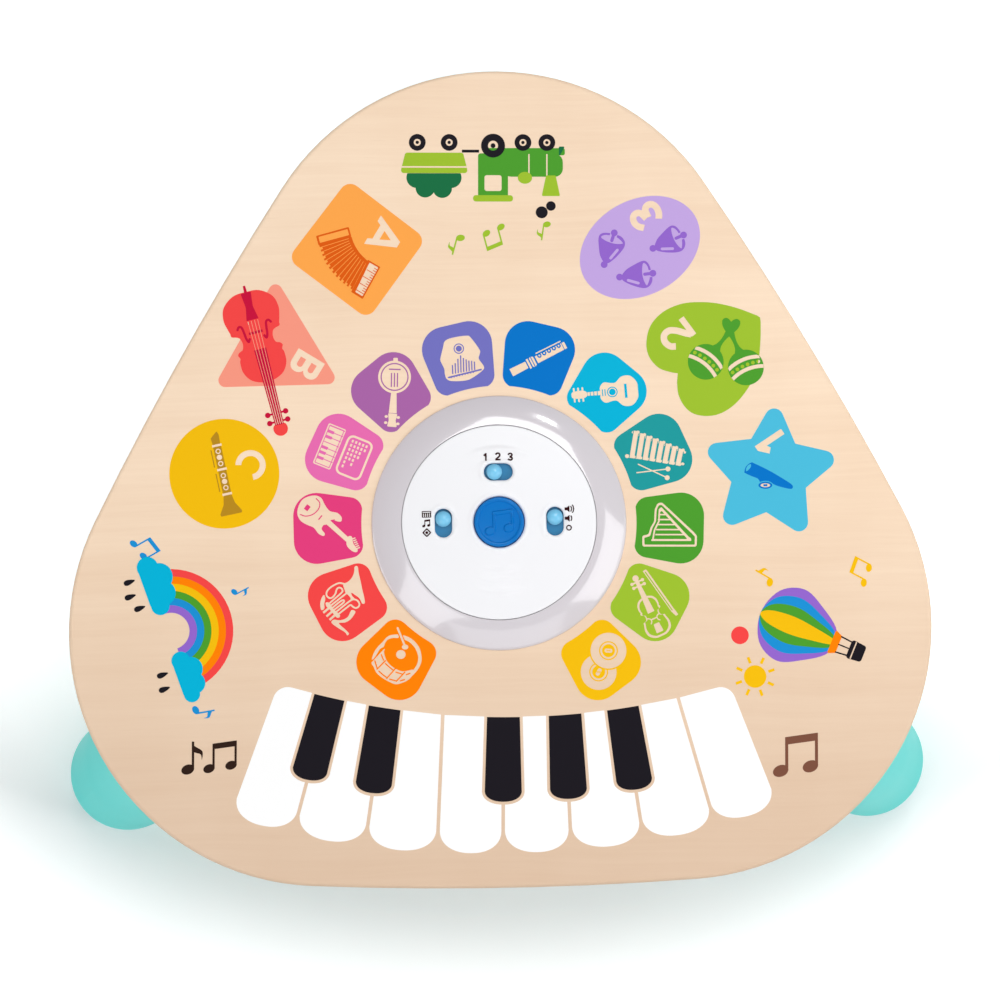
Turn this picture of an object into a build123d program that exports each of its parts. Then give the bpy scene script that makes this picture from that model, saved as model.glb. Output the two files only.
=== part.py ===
"""Musical activity table for toddlers: a hollow rounded-triangle wooden top on three splayed hollow legs.

The printed top board is a touch surface. Electrodes on a film under it sense a finger on the piano keys, the
instrument tiles and the shapes. A round control dial sits in a hole in the board. It holds a press button and
three slide switches. The speaker, the main circuit board and three AA cells are in the hollow of the top.

Everything is first placed about the upright axis midway between the three legs, with the keyboard side towards
-Y, and is then moved so that the origin is the bottom centre of the table's box, on the floor. Units are
millimetres and degrees.
"""

from build123d import *

import os
from math import acos, asin, atan2, cos, degrees, hypot, radians, sin, sqrt, tan

# ---------------------------------------------------------------- overall
TABLE_HEIGHT = 308.0  # to the top board's face; the dial stands about 10 mm higher
CORNER_SPACING = 177.3  # between the centres of two of the top's rounded corners
CORNER_RADIUS = 126.3
SIDE_BULGE = 2.5  # how far the middle of each long side swells over a straight one
BOX_Y = 2.7  # the wooden box's centroid, behind the legs' common centre
CORNERS = {"back": 90.0, "left": 210.0, "right": 330.0}

# ---------------------------------------------------------------- wooden box
TOP_THICK = 5.0
TOP_EDGE_ROUND = 2.0
BOARD_EDGE_BREAK = 0.8
FRAME_HEIGHT = 28.0
FRAME_THICK = 9.0
FRAME_INSET = 1.0  # how far the frame and base board stand in from the top board's edge
BASE_THICK = 5.0
BLOCK_RIM = 7.0  # corner block beyond its threaded inserts
BLOCK_TOP_GAP = 1.0  # room for the touch film between a corner block and the top board
BASE_SCREW_STEP = 70.0  # along each long side
BASE_SCREW_LENGTH = 22.0
BASE_SCREW_RADIUS = 1.75
BASE_SCREW_HEAD_RADIUS = 3.5

# ---------------------------------------------------------------- legs
LEG_LEAN = 18.0  # outward, from upright
FOOT_RADIUS = 33.0
FOOT_CENTRE_HEIGHT = 28.0
LEG_TOP_RADIUS = 38.0
LEG_WALL = 3.0
LEG_SOLE = 3.5
FLANGE_THICK = 4.0
FLANGE_RIM = 1.25  # flange beyond its screw heads
FLANGE_EDGE_MARGIN = 6.75  # from the flange's rim to the top's corner, if the box stood at the legs' centre
LEG_COLLAR = 2.5  # fillet where the leg runs into its flange
LEG_SCREW_ROOM = 1.0  # between that fillet and a screw head
LEG_BOLT_ANGLES = (60.0, 180.0, 300.0)  # from the outward direction, so that none is at the top's edge
LEG_SCREW_RADIUS = 2.5
LEG_SCREW_HOLE_RADIUS = 2.75
LEG_SCREW_LENGTH = 19.0
LEG_SCREW_HEAD_RADIUS = 4.75
LEG_SCREW_HEAD_HEIGHT = 3.0
INSERT_RADIUS = 3.6
INSERT_BORE_RADIUS = 2.56
INSERT_LENGTH = 11.0
PAD_RADIUS = 17.5
PAD_THICK = 2.5
PAD_STAND = 1.0  # how far the pad stands out of the sole

# ---------------------------------------------------------------- control dial
DIAL_Y = 4.0  # the dial's centre, behind the legs' common centre
DIAL_HOLE_RADIUS = 56.0
BEZEL_RADIUS = 63.5
BEZEL_LIP = 0.9
BEZEL_BULGE = 0.9  # how far the bezel's slope swells over a straight cone
BEZEL_RISE = 6.6  # the bezel's inner edge and the cover's outer edge, above the board
SKIRT_GAP = 0.4
SKIRT_WALL = 2.4
SKIRT_DEPTH = 11.0
LEDGE_WIDTH = 3.1
LEDGE_TOP = 2.2
LEDGE_THICK = 1.8
COVER_RADIUS = 48.3
COVER_GAP = 0.3
COVER_DOME = 2.4
COVER_WALL = 2.2
BOSS_RADIUS = 3.2
BOSS_REACH = 49.8
TRAY_FLOOR = 2.0
TRAY_RIM_WALL = 2.2
TRAY_RADIUS = 61.0
DIAL_LEAD_HOLE_RADIUS = 3.0
DIAL_LEAD_REACH = 27.0  # from the dial's centre to where its lead goes down
DIAL_LEAD_ANGLE = -29.0
TRAY_SCREW_RADIUS = 1.3
TRAY_SCREW_LENGTH = 9.0
TRAY_SCREW_HEAD_RADIUS = 2.6
TRAY_SCREW_HEAD_HEIGHT = 1.6
TRAY_SCREW_ANGLES = (45.0, 135.0, 225.0, 315.0)

CONTROL_BOARD_RADIUS = 43.0
CONTROL_BOARD_TOP = -3.0  # below the top board's face
CIRCUIT_THICK = 1.6
STANDOFF_RADIUS = 2.6
CONTROL_STANDOFF_REACH = 38.0
CONTROL_STANDOFF_ANGLES = (40.0, 140.0, 220.0, 320.0)
BOARD_SCREW_RADIUS = 1.1
BOARD_SCREW_LENGTH = 5.0
BOARD_SCREW_HEAD_RADIUS = 2.1
BOARD_SCREW_HEAD_HEIGHT = 1.2

BUTTON_RADIUS = 12.6
BUTTON_GAP = 0.3
BUTTON_STAND = 1.3  # above the cover
BUTTON_EDGE_ROUND = 1.2
BUTTON_DISH = 0.5
BUTTON_FLANGE_WIDTH = 1.7
BUTTON_FLANGE_THICK = 1.5
BUTTON_FLANGE_GAP = 0.3
BUTTON_TRAVEL = 1.5
PLUNGER_RADIUS = 4.0
DOME_HEIGHT = 3.6
DOME_BASE_RADIUS = 6.5
DOME_WALL = 0.8

SLOT_LENGTH = 14.4
SLOT_WIDTH = 8.6
SLOT_RIM_ROUND = 0.5
KNOB_RADIUS = 3.9
KNOB_STAND = 1.6  # above the cover at the slot
KNOB_STEP = 2.0  # between two of the three switch positions
SHUTTER_WIDTH = 11.4
SHUTTER_THICK = 1.4
SHUTTER_GAP = 0.5  # under the cover
SHUTTER_LAP = 0.6  # how far the shutter still covers past the slot at the end of travel
LANGUAGE_REACH = 25.0  # from the dial's centre to the slot's centre
SIDE_SWITCH_REACH = 27.7
SWITCH_BODY = (9.6, 4.6, 4.4)
SWITCH_WINDOW_DEPTH = 1.2
LEVER_SIZE = 2.0
LEVER_GAP = 0.3

# ---------------------------------------------------------------- touch film and electrodes
FILM_INSET = 13.0
FILM_THICK = 0.3
FILM_HOLE_GAP = 2.0
ELECTRODE_THICK = 0.2
ELECTRODE_MARGIN = 2.5
KEYBOARD_X = 2.8
KEY_TOP_Y = -92.5
KEY_MIDDLE_Y = -134.0
KEY_BOTTOM_Y = -160.0
KEY_LINES_TOP = (-115.2, -87.0, -57.1, -27.8, 2.8, 33.5, 62.9, 92.7, 122.2)  # X of the key edges at KEY_TOP_Y
KEY_LINES_MIDDLE = (-130.2, -97.6, -62.9, -29.1, 2.8, 35.5, 69.4, 104.6, 138.6)  # and at KEY_MIDDLE_Y
KEY_ARCH_RADIUS = 400.0
BLACK_KEY_PATTERN = ".BB.BBB.."  # which key edges carry a black key
BLACK_KEY_WIDTH = 16.5
BLACK_KEY_LENGTH = 42.0
TILE_COUNT = 12
TILE_PITCH_ANGLE = 26.0
TILE_HALF_ANGLE = 11.4
TILE_INNER_RADIUS = 67.7
TILE_OUTER_RADIUS = 101.3
SHAPE_PAD_RADIUS = 19.0
SHAPE_PAD_PLACES = {
    "square": (-70.5, 141.0),
    "triangle": (-108.0, 94.0),
    "circle": (-137.0, 29.0),
    "oval": (70.5, 142.0),
    "heart": (107.0, 88.0),
    "star": (135.0, 30.0),
}
PICTURE_PAD_RADIUS = 24.0
PICTURE_REACH = 183.0
PICTURE_PAD_ANGLES = (90.0, 197.0, 343.0)

# ---------------------------------------------------------------- speaker
SPEAKER_PLACE = (-101.0, 20.0)
SPEAKER_FLANGE_THICK = 2.0
SPEAKER_CONE_RADIUS = 23.0
SPEAKER_NECK_RADIUS = 12.0
SPEAKER_BASKET_DEPTH = 10.0
SPEAKER_WALL = 1.2
MAGNET_RADIUS = 14.0
MAGNET_HEIGHT = 7.0
GASKET_THICK = 1.0
SPEAKER_SCREW_ROOM = 0.05  # around a screw head, to the basket's wall and to the flange's rim
SPEAKER_SCREW_LENGTH = 6.0
GRILLE_HOLE_RADIUS = 1.75
GRILLE_RINGS = {8.0: 6, 16.0: 12}

# ---------------------------------------------------------------- batteries
BATTERY_PLACE = (0.0, -112.0)
CELL_RADIUS = 7.1
CELL_LENGTH = 49.2
CELL_NUB_RADIUS = 2.7
CELL_NUB_LENGTH = 1.2
CELL_PITCH = 15.0
CONTACT_ROOM = 4.0  # at each end of a cell
CONTACT_PLATE_THICK = 0.4
CONTACT_PLATE_SIZE = 10.0
SPRING_TURNS = 3.0
SPRING_RADIUS = 3.0
SPRING_WIRE_RADIUS = 0.35
BOX_WALL = 1.8
BOX_FLANGE_WIDTH = 7.0
BOX_FLANGE_THICK = 2.0
BOX_SCREW_LENGTH = 6.0
DOOR_END_LAP = 9.0  # door beyond the cells at each end, where its screws are
DOOR_GAP = 0.4
DOOR_THICK = 2.4
DOOR_SCREW_RADIUS = 1.5
DOOR_SCREW_CLEAR = 0.06
DOOR_SCREW_LENGTH = 8.0
DOOR_SCREW_HEAD_RADIUS = 2.8
DOOR_SCREW_HEAD_HEIGHT = 1.4
DOOR_POST_RADIUS = 3.4
DOOR_TRAVEL = 30.0
DOOR_RIB_HEIGHT = 0.6
DOOR_RIB_COUNT = 5

# ---------------------------------------------------------------- main circuit board and leads
MAIN_BOARD_PLACE = (101.0, 20.0)
MAIN_BOARD_SIZE = (58.0, 44.0)
MAIN_STANDOFF_HEIGHT = 6.0
MAIN_HOLE_MARGIN = 4.0
CHIP_SIZE = (12.0, 12.0, 1.6)
CAPACITOR_RADIUS = 3.2
CAPACITOR_HEIGHT = 8.0
CAPACITOR_OFFSET = (10.0, -14.0)  # from the main board's centre
PART_GAP = 3.0
CONNECTOR_SIZE = (7.0, 5.0, 5.0)
LEAD_RADIUS = 1.1
RIBBON_WIDTH = 12.0
RIBBON_FOOT = 7.0  # the tail's last run, along the main board into its connector

RECESS_WIDTH = 0.9  # one bar of a screw head's cross recess
RECESS_SHARE = 0.62  # of the head's radius
RECESS_DEPTH = 0.7

# ---------------------------------------------------------------- levels, all worked out from the sizes above
TOP_FACE = TABLE_HEIGHT
TOP_UNDER = TOP_FACE - TOP_THICK
BASE_TOP = TOP_UNDER - FRAME_HEIGHT
BASE_UNDER = BASE_TOP - BASE_THICK
CORNER_REACH = CORNER_SPACING / sqrt(3)
SIDE_REACH = CORNER_REACH / 2 + SIDE_BULGE + CORNER_RADIUS  # from the box's centroid to the middle of a side
SWELL_RADIUS = (CORNER_SPACING / 2) ** 2 / (2 * SIDE_BULGE) + SIDE_BULGE / 2  # of the arcs through the corners' centres
SWELL_CENTRE_REACH = SWELL_RADIUS - SIDE_BULGE - CORNER_REACH / 2  # from the box's centroid, away from the side
CONTROL_BOARD_UNDER = CONTROL_BOARD_TOP - CIRCUIT_THICK
SKIRT_RADIUS = DIAL_HOLE_RADIUS - SKIRT_GAP
BEZEL_BORE = COVER_RADIUS + COVER_GAP
LEG_BOLT_CIRCLE = (
    LEG_TOP_RADIUS / cos(radians(LEG_LEAN)) + LEG_COLLAR + LEG_SCREW_ROOM + LEG_SCREW_HEAD_RADIUS
)
FLANGE_RADIUS = LEG_BOLT_CIRCLE + LEG_SCREW_HEAD_RADIUS + FLANGE_RIM
BLOCK_RADIUS = LEG_BOLT_CIRCLE + INSERT_RADIUS + BLOCK_RIM
LEG_TOP_REACH = CORNER_REACH + CORNER_RADIUS - FLANGE_EDGE_MARGIN - FLANGE_RADIUS
FOOT_REACH = LEG_TOP_REACH + (BASE_UNDER - FOOT_CENTRE_HEIGHT) * tan(radians(LEG_LEAN))
SPEAKER_SCREW_CIRCLE = (
    SPEAKER_CONE_RADIUS + SPEAKER_WALL + SPEAKER_SCREW_ROOM + BOARD_SCREW_HEAD_RADIUS
)
SPEAKER_RADIUS = SPEAKER_SCREW_CIRCLE + BOARD_SCREW_HEAD_RADIUS + SPEAKER_SCREW_ROOM


def polar(reach, angle, centre=(0.0, 0.0)):
    """The point at a distance and a direction from a centre."""
    return (
        centre[0] + reach * cos(radians(angle)),
        centre[1] + reach * sin(radians(angle)),
    )


def outline(inset=0.0):
    """The top's triangle with swelled sides and rounded corners, moved in by inset."""
    sides = [
        ThreePointArc(
            polar(CORNER_REACH, corner),
            polar(CORNER_REACH / 2 + SIDE_BULGE, corner + 60),
            polar(CORNER_REACH, corner + 120),
        )
        for corner in CORNERS.values()
    ]
    core = make_face(Wire(sides))
    return Pos(0, BOX_Y) * offset(core, CORNER_RADIUS - inset, kind=Kind.ARC)


def slab(sketch, bottom, top):
    """A flat sketch raised between two levels."""
    return Pos(0, 0, bottom) * extrude(sketch, top - bottom)


def drum(radius, bottom, top, place=(0.0, 0.0)):
    """An upright cylinder between two levels."""
    return Pos(place[0], place[1], bottom) * Cylinder(
        radius, top - bottom, align=(Align.CENTER, Align.CENTER, Align.MIN)
    )


def block(size, bottom, place=(0.0, 0.0)):
    """An upright box on a level."""
    return Pos(place[0], place[1], bottom) * Box(
        *size, align=(Align.CENTER, Align.CENTER, Align.MIN)
    )


def turned(points, place=(0.0, 0.0), level=0.0):
    """A closed outline of (radius, height) points, turned about an upright axis."""
    face = make_face(Polyline(*[(r, 0, z) for r, z in points], close=True))
    return Pos(place[0], place[1], level) * revolve(face, Axis.Z)


def cross_recess(head_radius, level, place, depth=RECESS_DEPTH):
    """The cross cut into a screw head that faces down, from a level upward."""
    bar = 2 * head_radius * RECESS_SHARE
    cut = block((bar, RECESS_WIDTH, depth), level, place)
    return cut + block((RECESS_WIDTH, bar, depth), level, place)


def screw_from_below(place, seat, radius, length, head_radius, head_height):
    """A pan-head screw driven upward: its head lies under the level seat."""
    under = seat - head_height
    body = drum(radius, seat, seat + length, place) + drum(head_radius, under, seat, place)
    return body - cross_recess(head_radius, under, place)


def screw_from_above(place, seat, radius, length, head_radius, head_height):
    """A pan-head screw driven downward: its head lies on the level seat."""
    top = seat + head_height
    body = drum(radius, seat - length, seat, place) + drum(head_radius, seat, top, place)
    return body - cross_recess(head_radius, top - RECESS_DEPTH, place)


def group(solids):
    """Separate solids that share one node."""
    return Compound(list(solids))


# ---------------------------------------------------------------- the wooden box


def base_screw_places():
    """Three screws along the middle of the wall on each long side."""
    radius = SWELL_RADIUS + CORNER_RADIUS - FRAME_INSET - FRAME_THICK / 2
    places = []
    for corner in CORNERS.values():
        swell_centre = polar(SWELL_CENTRE_REACH, corner, (0, BOX_Y))
        for step in (-1, 0, 1):
            turn = degrees(step * BASE_SCREW_STEP / radius)
            places.append(polar(radius, corner + 180 + turn, swell_centre))
    return places


def leg_bolt_places(angle):
    """The three bolts of the leg at one corner."""
    centre = polar(LEG_TOP_REACH, angle)
    return [polar(LEG_BOLT_CIRCLE, angle + turn, centre) for turn in LEG_BOLT_ANGLES]


def top_board():
    """The printed board: a rounded upper edge, a broken lower edge and the dial's hole."""
    board = slab(outline(), TOP_UNDER, TOP_FACE)
    board = fillet(board.faces().sort_by(Axis.Z)[-1].edges(), TOP_EDGE_ROUND)
    board = fillet(board.faces().sort_by(Axis.Z)[0].edges(), BOARD_EDGE_BREAK)
    return board - drum(DIAL_HOLE_RADIUS, TOP_UNDER - 1, TOP_FACE + 1, (0, DIAL_Y))


def side_frame():
    """The bent wall that carries the top board, with pilot holes for the base screws."""
    ring = outline(FRAME_INSET) - outline(FRAME_INSET + FRAME_THICK)
    frame = slab(ring, BASE_TOP, TOP_UNDER)
    depth = BASE_UNDER + BASE_SCREW_LENGTH
    for place in base_screw_places():
        frame -= drum(BASE_SCREW_RADIUS, BASE_TOP - 1, depth, place)
    return frame


def countersunk_head(place):
    """The cone of a base screw's head, flush with the base board's underside."""
    height = BASE_SCREW_HEAD_RADIUS - BASE_SCREW_RADIUS
    return Pos(place[0], place[1], BASE_UNDER) * Cone(
        BASE_SCREW_HEAD_RADIUS,
        BASE_SCREW_RADIUS,
        height,
        align=(Align.CENTER, Align.CENTER, Align.MIN),
    )


def base_board():
    """The underside panel, with the battery opening, the speaker's grille and every screw hole."""
    board = slab(outline(FRAME_INSET), BASE_UNDER, BASE_TOP)
    board = fillet(board.faces().sort_by(Axis.Z)[0].edges(), BOARD_EDGE_BREAK)
    low, high = BASE_UNDER - 1, BASE_TOP + 1
    for place in base_screw_places():
        board -= drum(BASE_SCREW_RADIUS, low, high, place) + countersunk_head(place)
    for angle in CORNERS.values():
        for place in leg_bolt_places(angle):
            board -= drum(LEG_SCREW_HOLE_RADIUS, low, high, place)
    board -= block((door_opening()[0], door_opening()[1], BASE_THICK + 2), low, BATTERY_PLACE)
    holes = [SPEAKER_PLACE]
    for reach, count in GRILLE_RINGS.items():
        holes += [polar(reach, 360 * n / count, SPEAKER_PLACE) for n in range(count)]
    for place in holes:
        board -= drum(GRILLE_HOLE_RADIUS, low, high, place)
    pilots = speaker_screw_places() + box_screw_places() + main_hole_places()
    for place in pilots:
        board -= drum(BOARD_SCREW_RADIUS, BASE_UNDER + 1, high, place)
    return board


def corner_block(angle):
    """The glue block in a corner that the leg bolts into."""
    sketch = Pos(*polar(LEG_TOP_REACH, angle)) * Circle(BLOCK_RADIUS)
    sketch = sketch & outline(FRAME_INSET + FRAME_THICK)
    solid = slab(sketch, BASE_TOP, TOP_UNDER - BLOCK_TOP_GAP)
    for place in leg_bolt_places(angle):
        solid -= drum(INSERT_RADIUS, BASE_TOP - 1, BASE_TOP + INSERT_LENGTH, place)
    return solid


def threaded_insert(place):
    """The brass sleeve that a leg screw turns into."""
    outer = drum(INSERT_RADIUS, BASE_TOP, BASE_TOP + INSERT_LENGTH, place)
    return outer - drum(INSERT_BORE_RADIUS, BASE_TOP - 1, BASE_TOP + INSERT_LENGTH + 1, place)


def base_screw(place):
    """A countersunk wood screw from the base board into the frame."""
    shank = drum(BASE_SCREW_RADIUS, BASE_UNDER, BASE_UNDER + BASE_SCREW_LENGTH, place)
    screw = shank + countersunk_head(place)
    return screw - cross_recess(BASE_SCREW_HEAD_RADIUS, BASE_UNDER, place)


# ---------------------------------------------------------------- legs


def leg_body(angle, foot_radius, top_radius):
    """A ball that runs tangentially into a widening cone, laid along the leg's leaning axis."""
    length = hypot(FOOT_REACH - LEG_TOP_REACH, BASE_UNDER - FOOT_CENTRE_HEIGHT)
    reach = hypot(top_radius, length)
    spread = acos(foot_radius / reach) - atan2(length, top_radius)
    past = 1.25  # the cone goes on past the base board, and is trimmed there
    flare = (top_radius - foot_radius / cos(spread)) / length
    end = (foot_radius / cos(spread) + flare * past * length, past * length)
    tangent = (foot_radius * cos(spread), -foot_radius * sin(spread))
    middle = (foot_radius * cos(radians(45)), -foot_radius * sin(radians(45)))
    line = [
        ThreePointArc((0, 0, -foot_radius), (middle[0], 0, middle[1]), (tangent[0], 0, tangent[1])),
        Line((tangent[0], 0, tangent[1]), (end[0], 0, end[1])),
        Line((end[0], 0, end[1]), (0, 0, end[1])),
        Line((0, 0, end[1]), (0, 0, -foot_radius)),
    ]
    solid = revolve(make_face(Wire(line)), Axis.Z)
    foot = polar(FOOT_REACH, angle)
    return Pos(*foot, FOOT_CENTRE_HEIGHT) * Rot(0, 0, angle) * Rot(0, -LEG_LEAN, 0) * solid


def above(level):
    """All the space over a level, as a large block."""
    return block((4 * TABLE_HEIGHT, 4 * TABLE_HEIGHT, 4 * TABLE_HEIGHT), level)


def below(level):
    """All the space under a level, as a large block."""
    return above(level - 4 * TABLE_HEIGHT)


def leg(angle):
    """A closed hollow leg: a flat sole with a recess for its pad, and a flange with three screw holes."""
    top_centre = polar(LEG_TOP_REACH, angle)
    flange_under = BASE_UNDER - FLANGE_THICK
    outer = leg_body(angle, FOOT_RADIUS, LEG_TOP_RADIUS) - above(BASE_UNDER) - below(PAD_STAND)
    outer += drum(FLANGE_RADIUS, flange_under, BASE_UNDER, top_centre)
    seam = outer.edges().filter_by_position(Axis.Z, flange_under - 0.01, flange_under + 0.01)
    rim_length = 2 * 3.14 * FLANGE_RADIUS
    outer = fillet([edge for edge in seam if edge.length < rim_length], LEG_COLLAR)
    inner = leg_body(angle, FOOT_RADIUS - LEG_WALL, LEG_TOP_RADIUS - LEG_WALL)
    outer -= inner - above(flange_under) - below(PAD_STAND + LEG_SOLE)
    for place in leg_bolt_places(angle):
        outer -= drum(LEG_SCREW_HOLE_RADIUS, flange_under - FLANGE_THICK, BASE_UNDER + 1, place)
    return outer - drum(PAD_RADIUS, 0, PAD_THICK, polar(FOOT_REACH, angle))


def foot_pad(angle):
    """The soft disc that the leg stands on."""
    pad = drum(PAD_RADIUS, 0, PAD_THICK, polar(FOOT_REACH, angle))
    return fillet(pad.faces().sort_by(Axis.Z)[0].edges(), PAD_STAND / 2)


def leg_screw(place):
    """A machine screw up through the leg's flange and the base board into its insert."""
    return screw_from_below(
        place,
        BASE_UNDER - FLANGE_THICK,
        LEG_SCREW_RADIUS,
        LEG_SCREW_LENGTH,
        LEG_SCREW_HEAD_RADIUS,
        LEG_SCREW_HEAD_HEIGHT,
    )


# ---------------------------------------------------------------- the control dial


def cover_height(reach):
    """The cover's upper face above the board: a shallow parabolic dome."""
    return BEZEL_RISE + COVER_DOME * (1 - (reach / COVER_RADIUS) ** 2)


def dome_cap(radius, rise, edge_height, floor):
    """A disc whose upper face is a spherical cap: edge_height at its rim, rise more in the middle."""
    line = [
        ThreePointArc(
            (0, 0, edge_height + rise),
            (radius / 2, 0, edge_height + rise * 0.75 + cap_bow(radius, rise)),
            (radius, 0, edge_height),
        ),
        Line((radius, 0, edge_height), (radius, 0, floor)),
        Line((radius, 0, floor), (0, 0, floor)),
        Line((0, 0, floor), (0, 0, edge_height + rise)),
    ]
    return Pos(0, DIAL_Y, TOP_FACE) * revolve(make_face(Wire(line)), Axis.Z)


def cap_bow(radius, rise):
    """How far a spherical cap stands over the parabola at half its radius."""
    sphere = (radius**2 + rise**2) / (2 * rise)
    return sqrt(sphere**2 - (radius / 2) ** 2) - (sphere - rise) - rise * 0.75


def bezel_ring():
    """The sloping outer ring: it laps the board, goes down through its hole and carries the cover on a ledge."""
    middle = ((BEZEL_RADIUS + BEZEL_BORE) / 2, (BEZEL_LIP + BEZEL_RISE) / 2 + BEZEL_BULGE)
    skirt_bore = SKIRT_RADIUS - SKIRT_WALL
    ledge_bore = BEZEL_BORE - LEDGE_WIDTH
    rest = [
        (BEZEL_BORE, BEZEL_RISE),
        (BEZEL_BORE, LEDGE_TOP),
        (ledge_bore, LEDGE_TOP),
        (ledge_bore, LEDGE_TOP - LEDGE_THICK),
        (skirt_bore, LEDGE_TOP - LEDGE_THICK),
        (skirt_bore, -SKIRT_DEPTH),
        (SKIRT_RADIUS, -SKIRT_DEPTH),
        (SKIRT_RADIUS, 0),
        (BEZEL_RADIUS, 0),
        (BEZEL_RADIUS, BEZEL_LIP),
    ]
    slope = ThreePointArc(
        (BEZEL_RADIUS, 0, BEZEL_LIP), (middle[0], 0, middle[1]), (BEZEL_BORE, 0, BEZEL_RISE)
    )
    face = make_face(Wire([slope, *Polyline(*[(r, 0, z) for r, z in rest]).edges()]))
    ring = Pos(0, DIAL_Y, TOP_FACE) * revolve(face, Axis.Z)
    for place in tray_screw_places():
        boss_top = TOP_FACE + LEDGE_TOP - LEDGE_THICK
        ring += drum(BOSS_RADIUS, TOP_FACE - SKIRT_DEPTH, boss_top, place)
        pilot_top = TOP_FACE - SKIRT_DEPTH - TRAY_FLOOR + TRAY_SCREW_LENGTH
        ring -= drum(TRAY_SCREW_RADIUS, TOP_FACE - SKIRT_DEPTH - 1, pilot_top, place)
    return ring


def tray_screw_places():
    """The four screws that draw the tray up against the bezel."""
    return [polar(BOSS_REACH, a, (0, DIAL_Y)) for a in TRAY_SCREW_ANGLES]


def switch_places():
    """Each slide switch: the slot's centre, and the direction in which its knob travels from rest."""
    return {
        "language": ((0.0, DIAL_Y + LANGUAGE_REACH), (1.0, 0.0)),
        "mode": ((-SIDE_SWITCH_REACH, DIAL_Y), (0.0, -1.0)),
        "volume": ((SIDE_SWITCH_REACH, DIAL_Y), (0.0, -1.0)),
    }


def slot_sketch(place, way, length, width):
    """A round-ended slot along the direction way."""
    turn = degrees(atan2(way[1], way[0]))
    return Pos(*place) * Rot(0, 0, turn) * SlotOverall(length, width)


def dial_cover():
    """The domed cover: a shell with a skirt on the bezel's ledge, a button hole and three slots."""
    shell = dome_cap(COVER_RADIUS, COVER_DOME, BEZEL_RISE, LEDGE_TOP)
    bore = COVER_RADIUS - COVER_WALL
    under_edge = cover_height(bore) - COVER_WALL
    shell -= dome_cap(bore, cover_height(0) - COVER_WALL - under_edge, under_edge, LEDGE_TOP - 1)
    shell -= drum(BUTTON_RADIUS + BUTTON_GAP, TOP_FACE, TOP_FACE + 20, (0, DIAL_Y))
    for place, way in switch_places().values():
        shell -= slab(slot_sketch(place, way, SLOT_LENGTH, SLOT_WIDTH), TOP_FACE, TOP_FACE + 20)
    return shell


def dial_tray():
    """The lower shell: its rim bears on the board's underside, its floor carries the control board."""
    place = (0, DIAL_Y)
    floor = TOP_FACE - SKIRT_DEPTH
    tray = drum(TRAY_RADIUS, floor - TRAY_FLOOR, TOP_UNDER, place)
    tray -= drum(TRAY_RADIUS - TRAY_RIM_WALL, floor, TOP_UNDER + 1, place)
    for spot in control_standoff_places():
        tray += drum(STANDOFF_RADIUS, floor, TOP_FACE + CONTROL_BOARD_UNDER, spot)
        pilot_low = TOP_FACE + CONTROL_BOARD_TOP - BOARD_SCREW_LENGTH
        tray -= drum(BOARD_SCREW_RADIUS, pilot_low, TOP_FACE, spot)
    for spot in tray_screw_places():
        tray -= drum(TRAY_SCREW_RADIUS, floor - TRAY_FLOOR - 1, floor + 1, spot)
    return tray - drum(DIAL_LEAD_HOLE_RADIUS, floor - TRAY_FLOOR - 1, floor + 1, dial_lead_exit())


def dial_lead_exit():
    """Where the dial's lead leaves the control board and the tray's floor."""
    return polar(DIAL_LEAD_REACH, DIAL_LEAD_ANGLE, (0, DIAL_Y))


def tray_screw(place):
    """A screw up through the tray's floor into a boss of the bezel."""
    return screw_from_below(
        place,
        TOP_FACE - SKIRT_DEPTH - TRAY_FLOOR,
        TRAY_SCREW_RADIUS,
        TRAY_SCREW_LENGTH,
        TRAY_SCREW_HEAD_RADIUS,
        TRAY_SCREW_HEAD_HEIGHT,
    )


def control_standoff_places():
    """The four posts under the control board."""
    return [polar(CONTROL_STANDOFF_REACH, a, (0, DIAL_Y)) for a in CONTROL_STANDOFF_ANGLES]


def control_board():
    """The round circuit board under the dial's cover."""
    level = TOP_FACE + CONTROL_BOARD_UNDER
    board = drum(CONTROL_BOARD_RADIUS, level, level + CIRCUIT_THICK, (0, DIAL_Y))
    for spot in control_standoff_places():
        board -= drum(BOARD_SCREW_RADIUS, level - 1, level + CIRCUIT_THICK + 1, spot)
    return board


def control_board_screw(place):
    """A small screw down through the control board into its post."""
    return screw_from_above(
        place,
        TOP_FACE + CONTROL_BOARD_TOP,
        BOARD_SCREW_RADIUS,
        BOARD_SCREW_LENGTH,
        BOARD_SCREW_HEAD_RADIUS,
        BOARD_SCREW_HEAD_HEIGHT,
    )


def button_under():
    """The underside of the button's flange, above the board."""
    inner_dome = cover_height(BUTTON_RADIUS + BUTTON_FLANGE_WIDTH) - COVER_WALL
    return inner_dome - BUTTON_FLANGE_GAP - BUTTON_FLANGE_THICK


def play_button():
    """The round press button: a dished cap, a flange that keeps it in and a plunger onto the rubber dome."""
    place = (0, DIAL_Y)
    top = TOP_FACE + cover_height(0) + BUTTON_STAND
    under = TOP_FACE + button_under()
    cap = drum(BUTTON_RADIUS, under, top, place)
    cap = fillet(cap.faces().sort_by(Axis.Z)[-1].edges(), BUTTON_EDGE_ROUND)
    dish_sphere = (BUTTON_RADIUS**2 + BUTTON_DISH**2) / (2 * BUTTON_DISH)
    cap -= Pos(*place, top - BUTTON_DISH + dish_sphere) * Sphere(dish_sphere)
    flange = BUTTON_RADIUS + BUTTON_FLANGE_WIDTH
    cap += drum(flange, under, under + BUTTON_FLANGE_THICK, place)
    plunger_end = TOP_FACE + CONTROL_BOARD_TOP + DOME_HEIGHT
    return cap + drum(PLUNGER_RADIUS, plunger_end, under, place)


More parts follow.
